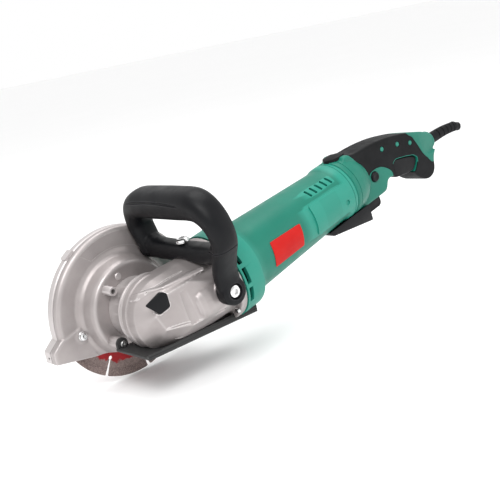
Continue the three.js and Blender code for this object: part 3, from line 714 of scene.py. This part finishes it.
def nose_ridge():
    """The low step from the nose to the front screw's boss."""
    outline = rounded([(-88, -3, 0.5), (-88, 11, 1), (-78, 20.3, 1), (-56, 27, 1), (-50, 6, 1),
                       (-44, -9, 1)])
    return toward_sole(plate(outline, GUARD_NEAR - 1.2, GUARD_NEAR + 2))


def sector_step():
    """A thin slice off the upper sector of the annulus, whose front end shows as a line."""
    outline = arc(GUARD_X, GUARD_Z, GUARD_R - 5, 110, 40, 40) + arc(0, 0, 61, 40, 104, 30)
    return plate(outline, GUARD_NEAR - 5, GUARD_NEAR + 0.35)


def guard_outer():
    r = GUARD_R
    shell = guard_turned([(0, GUARD_SEAM + 0.15), (r - 0.7, GUARD_SEAM + 0.15),
                          (r + 0.3, GUARD_SEAM + 1), (r + 0.3, GUARD_FAR - 4),
                          (r - 0.6, GUARD_FAR - 1.6), (r - 3, GUARD_FAR - 0.2), (r - 5, GUARD_FAR),
                          (r - 9, GUARD_FAR), (r - 10, GUARD_FAR - 0.6), (34, GUARD_FAR - 0.6),
                          (32, GUARD_FAR), (0, GUARD_FAR)])
    nose = toward_sole(plate(rounded(NOSE), GUARD_SEAM + 0.15, GUARD_FAR - 0.3))
    outline = arc(GUARD_X, GUARD_Z, r + 1.9, 109, 117, 8) + arc(GUARD_X, GUARD_Z, r - 3, 117, 109, 8)
    tab = plate(outline, GUARD_NEAR + 1.5, GUARD_FAR - 2)
    inside = guard_turned([(0, GUARD_SEAM - 1), (r - GUARD_WALL, GUARD_SEAM - 1),
                           (r - GUARD_WALL, GUARD_FAR - GUARD_WALL), (0, GUARD_FAR - GUARD_WALL)])
    body = cut(join(shell, nose), inside)
    body = join(body, meet(tab, guard_ring(GUARD_SEAM + 0.2, GUARD_FAR)))
    return bevelled(cut(body, below_guard(), nose_hole()), 0.5, 2, 35)


def guard_ring(y0, y1):
    """The ring that keeps the tab to the outside of the guard's rim."""
    return lathe([(GUARD_R - 2.5, y0), (GUARD_R + 3, y0), (GUARD_R + 3, y1), (GUARD_R - 2.5, y1)], 128,
                 centre=(GUARD_X, 0, GUARD_Z))


def nose_hole():
    """The small drilling in the tip of the nose."""
    hole = lathe([(0, -95), (1.4, -95), (1.4, -86), (0, -86)], 24, "X", (0, 83.5, 5.5))
    return toward_sole(hole)


# ---------------------------------------------------------------- screws


SOCKET_DEPTH = 2.2


def socket_screw(radius, height, socket):
    """A round-headed screw with a hexagon socket, its head towards -Y."""
    floor = SOCKET_DEPTH - height
    head = lathe([(0, -height), (radius * 0.72, -height), (radius * 0.93, -height * 0.8),
                  (radius, -height * 0.45), (radius, 0), (0, 0)], 48)
    hexagon = lathe([(0, -height - 1), (socket, -height - 1), (socket, floor), (0, floor)], 6)
    return cut(head, hexagon)


def washer(radius, thickness):
    y = -thickness
    return lathe([(3, y), (radius - 0.3, y), (radius, y + 0.3), (radius, 0), (3, 0)], 48)


def moved(piece, x=0, y=0, z=0, turn=None):
    step = Matrix.Translation((x, y, z))
    piece.data.transform(step @ turn if turn else step)
    return piece


def screws():
    for name, (x, z) in GUARD_SCREWS.items():
        y = GUARD_NEAR - (1.7 if name == "front" else 0.35)
        head = join(socket_screw(4.4, 3, 2.1), washer(5, 0.6))
        shown(moved(head, x, y, z), f"look_guard_screw_{name}", CHROME, "machine",
              [f"guard_screw_{name}"])
    near = socket_screw(6.2, 3.6, 3.2)
    shown(moved(near, HANDLE_X, -49, 0), "look_handle_bolt_near", CHROME, "machine",
          ["handle_bolt_near"])
    top = join(socket_screw(6, 3.6, 3), washer(7, 0.8))
    shown(moved(top, HANDLE_X, 0, 51.3, Matrix.Rotation(-math.pi / 2, 4, "X")), "look_handle_bolt_top",
          CHROME, "machine", ["handle_bolt_top"])


# ---------------------------------------------------------------- front loop handle


def loop_bar(shrink=1.0):
    """The near leg, the grip and the far leg as one bent bar."""
    places = [(-45, 0), (-48, 20), (-57, 38), (-66, 54), (-66.5, 70), (-59, 84), (-45, 92), (-18, 93),
              (16, 93), (40, 92.5), (55, 86), (63, 71), (62, 53), (58, 38)]
    widths = [13, 13.2, 13, 13, 13.5, 14.4, 15.4, 15.4, 15.4, 15.4, 14.6, 13.5, 13, 12]
    heights = [7.5, 8, 8.6, 9.2, 9.8, 12, 14.6, 15.2, 15.2, 14.6, 12.5, 10, 9.2, 8.5]
    path = smooth_path([(HANDLE_X, y, z) for y, z in places], 10)
    return sweep(path, [w * shrink for w in widths], [h * shrink for h in heights], (1, 0, 0), 2.6)


def front_handle():
    x = HANDLE_X
    cross_path = smooth_path([(x, -58, 46), (x, -48, CROSS_Z + 0.5), (x, -20, CROSS_Z - 0.5),
                              (x, 20, CROSS_Z), (x, 46, CROSS_Z + 1), (x, 58, 46)], 8)
    cross = sweep(cross_path, 10.5, [10.5, 10, 9.6, 9.8, 10.5, 11.5], (1, 0, 0), 2.6)
    foot = lathe([(0, -53), (11.8, -53), (13.6, -51.2), (13.6, -39), (0, -39)], 64, centre=(x, 0, 0))
    far_foot = disc(10, 48, GUARD_NEAR - 0.6, x, 40)
    body = join(loop_bar(), cross, foot, far_foot)
    body = cut(body, block(0, 100, GUARD_NEAR - 0.6, 100, 0, 68), block(0, 100, -38.2, 0, -30, 22))
    body = melted(body, 0.9, 7)
    room = lathe([(0, 20), (HEAD_R + 0.6, 20), (HEAD_R + 0.6, 57.6), (FLANGE_R - 0.3, 57.6),
                  (FLANGE_R - 0.3, 100), (0, 100)], 64, "X")
    crease = cut(block(20, 80, -90, -50, 47.2, 48.2), loop_bar(0.94))
    along = [Vector((x - 15, y, GRIP_Z + 7.5 - 0.0012 * (y - 10) ** 2)) for y in range(-38, 56, 4)]
    line = sweep(along, 1.2, 1.3, (1, 0, 0), sides=12)
    body = cut(body, room, crease, line, disc(8, -60, -49, x, 0), disc(3.4, -60, -30, x, 0))
    return bevelled(body, 0.35, 2, 55)


# ---------------------------------------------------------------- motor housing


def housing_r(x):
    share = (x - HOUSING_X0) / (HOUSING_X1 - HOUSING_X0)
    return HOUSING_R0 + (HOUSING_R1 - HOUSING_R0) * share


def housing_skin():
    r = HOUSING_R0
    return [(FLANGE_R, FLANGE_X + 0.2), (FLANGE_R, 88), (FLANGE_R - 0.8, 90.5), (FLANGE_R - 3.6, 92),
            (r + 2.2, 93), (r, 96.5), *[(housing_r(x), x) for x in range(105, 236, 10)],
            (32.0, 236), (HOUSING_END_R, 241), (HOUSING_END_R, 249)]


def motor_housing():
    skin = housing_skin()
    outer = lathe([(0, FLANGE_X + 0.2), *skin, (HOUSING_END_R - 1, HOUSING_END), (0, HOUSING_END)],
                  144, "X")
    bore = lathe([(0, FLANGE_X - 1), (FLANGE_R - 5, FLANGE_X - 1), (FLANGE_R - 5, 88),
                  (HOUSING_R0 - 3, 95), (HOUSING_R1 - 3, 225), (HOUSING_R1 - 3, 254), (0, 254)], 96, "X")
    panel = meet(lathe([(0, 183)] + [(housing_r(x) + 1.5, x) for x in (183, 200, 225)]
                       + [(33.6, 241), (0, 241)], 144, "X"),
                 plate(rounded([(184, 18.5, 4), (246, 15, 4), (246, -17, 4), (184, -17, 4)]), -60, 60))
    body = cut(join(outer, panel), bore, *housing_slots())
    seam = ring_groove(HOUSING_END - 5, 0.35, HOUSING_END_R - 0.7, HOUSING_END_R + 2, 144)
    wells = [disc(3, s * 40 - 8, s * 40 + 8, 235.2, -4.7, 32) for s in (-1, 1)]
    return bevelled(cut(body, seam, *wells, *sole_room()), 0.45, 2, 32)


def ring_groove(x, half, inner, outer, segments):
    """The ring to cut for a groove right round the motor axis."""
    return lathe([(inner, x - half), (outer, x - half), (outer, x + half), (inner, x + half)],
                 segments, "X")


def housing_slots():
    """Air slots round the flange and oblique vents near the rear, on both sides."""
    slots = []
    for side in (0, math.pi):
        for turn in (-27, 0, 27):
            slot = bevelled(block(68.5, 73.5, -60, -30, -8.6, 8.6), 0.8, 2)
            slot.data.transform(Matrix.Rotation(math.radians(turn - 4) + side, 4, "X"))
            slots.append(slot)
        for i in range(5):
            x = 197 + 8.3 * i
            lean = Matrix.Translation((x, 0, 0)) @ Matrix.Rotation(math.radians(-14), 4, "Y")
            vent = bevelled(block(-1.5, 1.5, -50, -20, -5, 5), 1.0, 3)
            turn = -math.radians(50) if side == 0 else math.radians(230)
            vent.data.transform(Matrix.Rotation(turn, 4, "X") @ lean)
            slots.append(vent)
    return slots


def label_plate():
    """A thin film that follows the housing."""
    under = [(housing_r(x) + 0.15, x) for x in (LABEL_X0, LABEL_X1)]
    over = [(housing_r(x) + 0.75, x) for x in (LABEL_X1, LABEL_X0)]
    outline = rounded([(115.5, -14.5, 1.5), (160, -14.5, 1.5), (162.5, 9.5, 1.5), (118, 12, 1.5)])
    return meet(lathe(under + over, 180, "X"), plate(outline, -60, 0))


def top_pad():
    """A rubber rest over the joint of the housing and the handle."""
    r = HOUSING_END_R
    pad = lathe([(0, 250), (r + 0.3, 250), (r + 2.6, 254), (r + 3.4, 259), (r + 3, 270), (r + 0.5, 279),
                 (0, 279)], 128, "X")
    outline = rounded([(268, -11, 8), (279, -6, 5), (279, 6, 5), (268, 11, 8), (256, 8, 6), (252, 0, 4),
                       (256, -8, 6)])
    column = loft([[(x, y, z) for x, y in outline] for z in (25, 60)])
    return bevelled(meet(pad, column), 1.0, 3)


# ---------------------------------------------------------------- rear handle

GRIP_TOP = [(284, 30), (312, 28), (339, 23.5), (364, 16.6), (381, 10.7),
            (397, 4), (407, -1.5), (415, -7), (420, -12), (420.5, -21)]
GRIP_REAR = [(413, -24.5), (407, -30), (403.5, -37), (401.5, -44), (396.5, -50), (388, -52), (380, -49.5),
             (372, -43), (366, -35), (362, -29), (352, -27.5), (342, -25.5), (329, -21)]
GRIP_BOSS = [(321, -21), (315, -29), (307, -31), (280, -31), (271, -33)]
RUBBER_REGION = [(266, 60), (284, 16), (286, 1), (287.5, -6), (296, 0), (308, 0.5), (318, -3),
                 (328, -12), (330, -22), (328, -40), (360, -75), (425, -75), (425, -40), (400.5, -37),
                 (393, -28), (387, -19), (382.5, -7), (377, 6), (370, 15), (362, 50)]
TRIGGER = [(334.9, -8.6), (340.8, -5.5), (358, -10.2), (370.6, -14.9), (375.2, -19.2), (373.2, -24.9),
           (365.5, -30.5), (352, -29), (334.9, -25)]
TRIGGER_WINDOW = [(334, -7.5), (340, -4.5), (358, -9.3), (371, -14), (376, -19), (374, -25), (366, -33),
                  (334, -33)]
TRIGGER_HALF = 15.2
DOTS = ((324.6, 15.6), (350.5, 9.6), (371.4, 1.6))
LOCK_ON = (300.5, -6.7)


def smooth_outline(points, per_span=5):
    """A closed outline curved gently through its points."""
    pts = [Vector((x, z, 0)) for x, z in points]
    count = len(pts)
    out = []
    for i in range(count):
        a, b, c, d = (pts[(i + k - 1) % count] for k in range(4))
        for k in range(per_span):
            t = k / per_span
            p = 0.5 * (2 * b + (c - a) * t + (2 * a - 5 * b + 4 * c - d) * t * t
                       + (3 * b - a - 3 * c + d) * t ** 3)
            out.append((p.x, p.y))
    return out


def grip_form():
    """The whole rear handle as one smooth solid."""
    outline = smooth_outline([(262, 30), *GRIP_TOP, *GRIP_REAR, *GRIP_BOSS, (262, -30)], 4)
    body = bevelled(plate(outline, -GRIP_HALF, GRIP_HALF), 7, 4, 60)
    drum = lathe([(0, 253.3), (HOUSING_END_R, 253.3), (HOUSING_END_R, 260), (HOUSING_END_R - 1.2, 268),
                  (30, 276), (24, 286), (14, 292), (0, 294)], 128, "X")
    collar = lathe([(0, 408), (9, 410), (11.4, 415), (11.4, 418.5), (10.4, 420.4), (0, 420.4)], 64, "X",
                   (0, 0, -16.5))
    waist = [hull([(x, side * y, z) for x, y in ((387, 17.3), (424, 9.4), (424, 30), (387, 30))
                   for z in (-25, 30)]) for side in (-1, 1)]
    body = join(cut(join(body, drum), *waist), collar)
    return melted(body, 0.9, 12)


def rubber_region(grow=0.0):
    outline = RUBBER_REGION
    if grow:
        outline = offset_outline(outline, grow)
    return plate(smooth_outline(outline, 4), -60, 60)


def offset_outline(points, distance):
    """The outline moved out by an even distance, whichever way round its points run."""
    out = []
    count = len(points)
    following = points[1:] + points[:1]
    area = sum(a[0] * b[1] - b[0] * a[1] for a, b in zip(points, following))
    sign = 1 if area < 0 else -1
    for i, (x, z) in enumerate(points):
        ax, az = points[i - 1]
        bx, bz = points[(i + 1) % count]
        length = math.hypot(bx - ax, bz - az)
        out.append((x - sign * (bz - az) / length * distance,
                    z + sign * (bx - ax) / length * distance))
    return out


def window(grow, half=40):
    """The trigger's window grown all round, as deep to each side as half says."""
    return plate(rounded([(x, z, 3) for x, z in offset_outline(TRIGGER_WINDOW, grow)]), -half, half)


def window_rim():
    """The thin green line round the trigger, on both sides of the handle."""
    ring = cut(window(0.75, GRIP_HALF + 0.02), window(0.2))
    return cut(ring, block(300, 400, -15.3, 15.3, -60, 20), block(300, 400, -40, 40, -60, -24),
               block(300, 334.6, -40, 40, -60, 20))


def trigger_room():
    """Space behind the rubber that the squeezed trigger rises into."""
    rise = 4.2
    return join(window(0.4, TRIGGER_HALF + 0.3), moved(window(0.4, TRIGGER_HALF + 0.3), z=rise))


def rear_handle():
    form = grip_form()
    core = swollen(copy(form), -1.6)
    rubber = meet(copy(form), rubber_region())
    green = cut(form, rubber_region(0.35))
    green = join(green, meet(core, rubber_region(2.0)))
    dots = [lathe([(0, -GRIP_HALF - 0.35), (2.2, -GRIP_HALF - 0.35), (3, -GRIP_HALF + 0.6),
                   (3, -GRIP_HALF + 3), (0, -GRIP_HALF + 3)], 32, centre=(x, 0, z)) for x, z in DOTS]
    holes = [disc(3.15, -60, -GRIP_HALF + 2, x, z, 32) for x, z in DOTS]
    rubber = cut(rubber, *holes, window(0.85), trigger_room())
    green = cut(join(green, *dots), window(0.3), trigger_room(), disc(6.3, -40, -11, *LOCK_ON),
                boot_bore())
    green = join(green, window_rim())
    green = cut(green, ring_groove(259.5, 0.4, HOUSING_END_R - 0.6, HOUSING_END_R + 3, 128))
    near = cut(copy(green), block(200, 520, -0.12, 90, -120, 120))
    far = cut(green, block(200, 520, -90, 0.12, -120, 120))
    return near, far, rubber


def boot_bore():
    """The hole that the strain relief leaves the handle through."""
    path = smooth_path([(396, 0, -15.4), (420, 0, -17.4), (430, 0, -18.1)], 4)
    return sweep(path, 7.2, 7.2, (0, 1, 0), sides=24)


BOOT_PATH = [(408, 0, -16.5), (424, 0, -17.8), (450, 0, -19.5), (471, 0, -22.8), (480, 0, -26.6)]


def cord_boot():
    """A tapered, ribbed strain relief that ends in a plain collar, open through its middle."""
    path = smooth_path(BOOT_PATH[:4], 24)
    radii = [6.6, 6.9, 6.8, 6.5, 6.2, 6.0]
    end_radii = [6.3, 5.4, 5.2]
    body = sweep(path, radii, radii, (0, 1, 0), 2.2, 32)
    collar = sweep(smooth_path(BOOT_PATH[3:], 8), end_radii, end_radii, (0, 1, 0), 2.2, 32)
    grooves = [boot_groove(path[i], path[i + 1]) for i in range(36, 76, 8)]
    bore = sweep(smooth_path(BOOT_PATH + [(485, 0, -28.7)], 8), 3.7, 3.7, (0, 1, 0), sides=24)
    return cut(join(body, collar), *grooves, bore)


def boot_groove(here, ahead):
    """A groove across the strain relief that leaves a spine along its top and bottom."""
    groove = lathe([(5.6, -0.8), (9, -0.8), (9, 0.8), (5.6, 0.8)], 40, "Z")
    turn = (ahead - here).normalized().to_track_quat("Z", "Y").to_matrix().to_4x4()
    groove.data.transform(Matrix.Translation(here) @ turn)
    return cut(groove, block(400, 500, -1.6, 1.6, -60, 60))


def trigger_paddle():
    body = plate(rounded([(x, z, 2) for x, z in TRIGGER]), -TRIGGER_HALF, TRIGGER_HALF)
    return bevelled(body, 1.4, 4, 50)


def lock_on_button():
    """A round push button with a dished face and a rounded rim."""
    face = -19.4
    profile = [(0, face + 0.5), (3.4, face + 0.3), (4.3, face), (5, face + 0.25), (5.5, face + 1),
               (5.5, -12), (0, -12)]
    return moved(join(lathe(profile, 64), disc(3, -12.5, -7)), LOCK_ON[0], 0, LOCK_ON[1])


# ---------------------------------------------------------------- sole


def sole_plate():
    flat = rounded([(SOLE_X0, 0, 0.8), (SOLE_X1, 0, 0.8), (SOLE_X1, SOLE_TOP, 0.8),
                    (SOLE_X0, SOLE_TOP, 0.8)], 3)
    edge = rounded([(SOLE_X0, 0, 0.5), (SOLE_X1, 0, 0.5), (SOLE_X1, 8, 1.5), (SOLE_X0, 5, 1.5)], 3)
    sole = plate(flat, SOLE_NEAR, SOLE_FAR)
    rail = plate(edge, SOLE_NEAR, SOLE_NEAR + 3)
    shelf = block(50, SOLE_X1, 30, 49.6, 0, SOLE_TOP)
    ear_y = SOLE_FAR - 3.2
    ear = join(disc(PIVOT_R, ear_y, SOLE_FAR, PIVOT_X, PIVOT_Z),
               block(PIVOT_X - PIVOT_R, PIVOT_X + PIVOT_R, ear_y, SOLE_FAR, 0, PIVOT_Z))
    body = join(sole, shelf, rail, ear, depth_arm())
    return bevelled(cut(body, disc(PIN_HOLE_R, 30, 45, PIVOT_X, PIVOT_Z)), 0.5, 2, 35)


def depth_arm():
    """The slotted arc that slides past the depth clamp."""
    cx = CLAMP_X * math.cos(TILT) - CLAMP_Z * math.sin(TILT)
    cz = CLAMP_X * math.sin(TILT) + CLAMP_Z * math.cos(TILT) + SOLE_DROP
    radius = math.hypot(cx - PIVOT_X, cz - PIVOT_Z)
    start = math.degrees(math.atan2(cz - PIVOT_Z, cx - PIVOT_X))
    band = (arc(PIVOT_X, PIVOT_Z, radius + 8, start - 5.7, start + 21.7, 30)
            + arc(PIVOT_X, PIVOT_Z, radius - 8, start + 21.7, start - 5.7, 30))
    slot = (arc(PIVOT_X, PIVOT_Z, radius + 3.5, start - 2, start + 18, 30)
            + arc(PIVOT_X, PIVOT_Z, radius - 3.5, start + 18, start - 2, 30))
    arm = join(plate(band, 46.6, 49.6), block(52, 88, 46.6, 49.6, 0, 8))
    return cut(arm, plate(slot, 40, 60))


def pivot_pin():
    y = SOLE_FAR - 6
    head = lathe([(0, y), (2.6, y), (3.1, y + 0.5), (3.2, y + 2.4), (0, y + 2.4)], 48)
    hexagon = lathe([(0, y - 1), (1.5, y - 1), (1.5, y + 1.4), (0, y + 1.4)], 6)
    return moved(cut(join(head, disc(2.5, y + 2, 51)), hexagon), PIVOT_X, 0, PIVOT_Z)


def rear_foot():
    wedge = plate(rounded([(208, -28, 1), (211, -33.4, 2), (274, -46.8, 2), (275, -28, 1)]), -21, 21)
    motor = lathe([(0, 190), (housing_r(190) + 0.3, 190), (HOUSING_R1 + 0.6, 225),
                   (HOUSING_END_R + 0.5, 241), (HOUSING_END_R + 0.5, 280), (0, 280)], 96, "X")
    return bevelled(cut(wedge, motor, block(250, 300, -17.4, 17.4, -34, 0)), 0.7, 2, 35)


def bumper_block():
    outline = rounded([(281, -31.4, 0.5), (281, -42, 1.5), (299, -42, 3), (302, -39, 3),
                       (302, -31.4, 0.5)])
    return bevelled(plate(outline, -13, 13), 1.4, 3, 35)


# ---------------------------------------------------------------- blade and knob


def blade():
    """A disc with a thicker rim, parted by slots that end in round holes."""
    core = lathe([(BLADE_BORE, BLADE_Y - 1), (BLADE_RIM, BLADE_Y - 1), (BLADE_RIM, BLADE_Y - 1.2),
                  (BLADE_R, BLADE_Y - 1.2), (BLADE_R, BLADE_Y + 1.2), (BLADE_RIM, BLADE_Y + 1.2),
                  (BLADE_RIM, BLADE_Y + 1), (BLADE_BORE, BLADE_Y + 1)], 192)
    for i in range(BLADE_SLOTS):
        wedge = plate([(56, -0.9), (80, -2.6), (80, 2.6), (56, 0.9)], BLADE_Y - 5, BLADE_Y + 5)
        keyhole = join(wedge, disc(2.2, BLADE_Y - 5, BLADE_Y + 5, 56.5, 0, 32))
        turn = math.radians(360 / BLADE_SLOTS * i + BLADE_PHASE)
        keyhole.data.transform(Matrix.Rotation(turn, 4, "Y"))
        core = cut(core, keyhole)
    return core


def around(degrees, radius):
    a = math.radians(degrees)
    return radius * math.cos(a), radius * math.sin(a)


def clamp_knob():
    """A round knob with finger hollows."""
    body = lathe([(0, 49.9), (10, 49.9), (11.8, 51), (12, 53), (12, 59), (11, 61.4), (9, 62), (0, 62)], 72)
    hollows = []
    for i in range(7):
        x, z = around(360 / 7 * i, 14.4)
        hollows.append(disc(4, 40, 70, x, z, 32))
    return moved(bevelled(cut(body, *hollows, disc(3.3, 40, 61)), 0.6, 2, 40), CLAMP_X, 0, CLAMP_Z)


# ---------------------------------------------------------------- putting it together


def build_object():
    shown(gear_case(), "look_gear_case", CAST, "machine", ["gear_case"])
    shown(bearing_box(), "look_bearing_box", CAST, "machine", ["bearing_box"])
    shown(lock_button(), "look_lock_button", BLACK, "spindle_lock", ["spindle_lock_button"])
    shown(guard_inner(), "look_guard_inner", CAST, "machine", ["guard_inner_half"])
    shown(guard_outer(), "look_guard_outer", CAST, "machine", ["guard_outer_half"])
    screws()
    shown(front_handle(), "look_front_handle", BLACK, "machine", ["front_handle"])
    shown(motor_housing(), "look_motor_housing", GREEN, "machine", ["motor_housing"])
    shown(label_plate(), "look_label_plate", LABEL, "machine", ["label_plate"])
    shown(top_pad(), "look_top_pad", RUBBER, "machine", ["top_pad"])
    near, far, rubber = rear_handle()
    shown(near, "look_shell_near", GREEN, "machine", ["handle_shell_near"])
    shown(far, "look_shell_far", GREEN, "machine", ["handle_shell_far"])
    shown(rubber, "look_grip_rubber", RUBBER, "machine", ["grip_rubber"])
    shown(cord_boot(), "look_cord_boot", RUBBER, "machine", ["cord_boot"])
    shown(trigger_paddle(), "look_trigger", BLACK, "trigger", ["trigger"])
    shown(lock_on_button(), "look_lock_on_button", BLACK, "lock_on", ["lock_on_button"])
    shown(sole_plate(), "look_sole_plate", PAINT, "sole", ["sole_plate"], BASE)
    shown(pivot_pin(), "look_pivot_pin", STEEL, "machine", ["sole_pivot_pin"], BASE)
    shown(rear_foot(), "look_rear_foot", BLACK, "machine", ["rear_foot"])
    shown(bumper_block(), "look_bumper_block", RUBBER, "machine", ["bumper_block"])
    shown(blade(), "look_blade", BLADE, "spindle", ["blade"])
    shown(clamp_knob(), "look_clamp_knob", BLACK, "clamp_knob", ["depth_clamp_knob"])


# ---------------------------------------------------------------- camera, floor and light

CAMERA_AT = (-373.9, -704.9, 332.1)       # in the tool's frame
CAMERA_AZIMUTH, CAMERA_ELEVATION, CAMERA_ROLL = -34.86, 21.03, 21.70
LENS = 64.8
FLOOR_Z = -0.0455
LIGHT_TARGET = Vector((0.15, 0, 0.05))


def camera():
    a, e, r = (math.radians(v) for v in (CAMERA_AZIMUTH, CAMERA_ELEVATION, CAMERA_ROLL))
    back = Vector((math.sin(a) * math.cos(e), -math.cos(a) * math.cos(e), math.sin(e)))
    right = Vector((math.cos(a), math.sin(a), 0))
    up = back.cross(right)
    across = right * math.cos(r) - up * math.sin(r)
    upward = right * math.sin(r) + up * math.cos(r)
    turn = Matrix((across, upward, back)).transposed().to_4x4()
    data = bpy.data.cameras.new("camera")
    data.lens = LENS
    data.sensor_width = 36
    data.clip_start, data.clip_end = 0.01, 20
    eye = bpy.data.objects.new("camera", data)
    eye.matrix_world = TOOL @ Matrix.Translation(CAMERA_AT) @ turn
    eye.scale = (1, 1, 1)                 # TOOL shrinks millimetres to metres, the camera not
    bpy.context.scene.collection.objects.link(eye)
    bpy.context.scene.camera = eye


def area_light(name, at, size, power):
    data = bpy.data.lights.new(name, "AREA")
    data.size = size
    data.energy = power
    lamp = bpy.data.objects.new(name, data)
    lamp.location = at
    lamp.rotation_mode = "QUATERNION"
    lamp.rotation_quaternion = (LIGHT_TARGET - Vector(at)).to_track_quat("-Z", "Y")
    bpy.context.scene.collection.objects.link(lamp)


def studio():
    floor = loft([[(x * 40, y * 40, FLOOR_Z - t) for x, y in ((-1, -1), (1, -1), (1, 1), (-1, 1))]
                  for t in (0.02, 0)])
    floor.name = "studio_floor"
    floor.data.materials.append(floor_surface())
    world = bpy.data.worlds.new("studio")
    bpy.context.scene.world = world
    world.use_nodes = True
    backdrop = world.node_tree.nodes["Background"]
    backdrop.inputs["Color"].default_value = (1, 1, 1, 1)
    backdrop.inputs["Strength"].default_value = 1.0
    area_light("key", (-0.7, -0.9, 1.3), 0.8, 20)
    area_light("top", (0.3, 0.1, 1.5), 0.9, 10)
    area_light("fill", (1.2, -1.0, 0.5), 0.9, 3)


bpy.context.scene.view_settings.view_transform = "Standard"
dress_cad_nodes()
camera()
studio()
build_object()
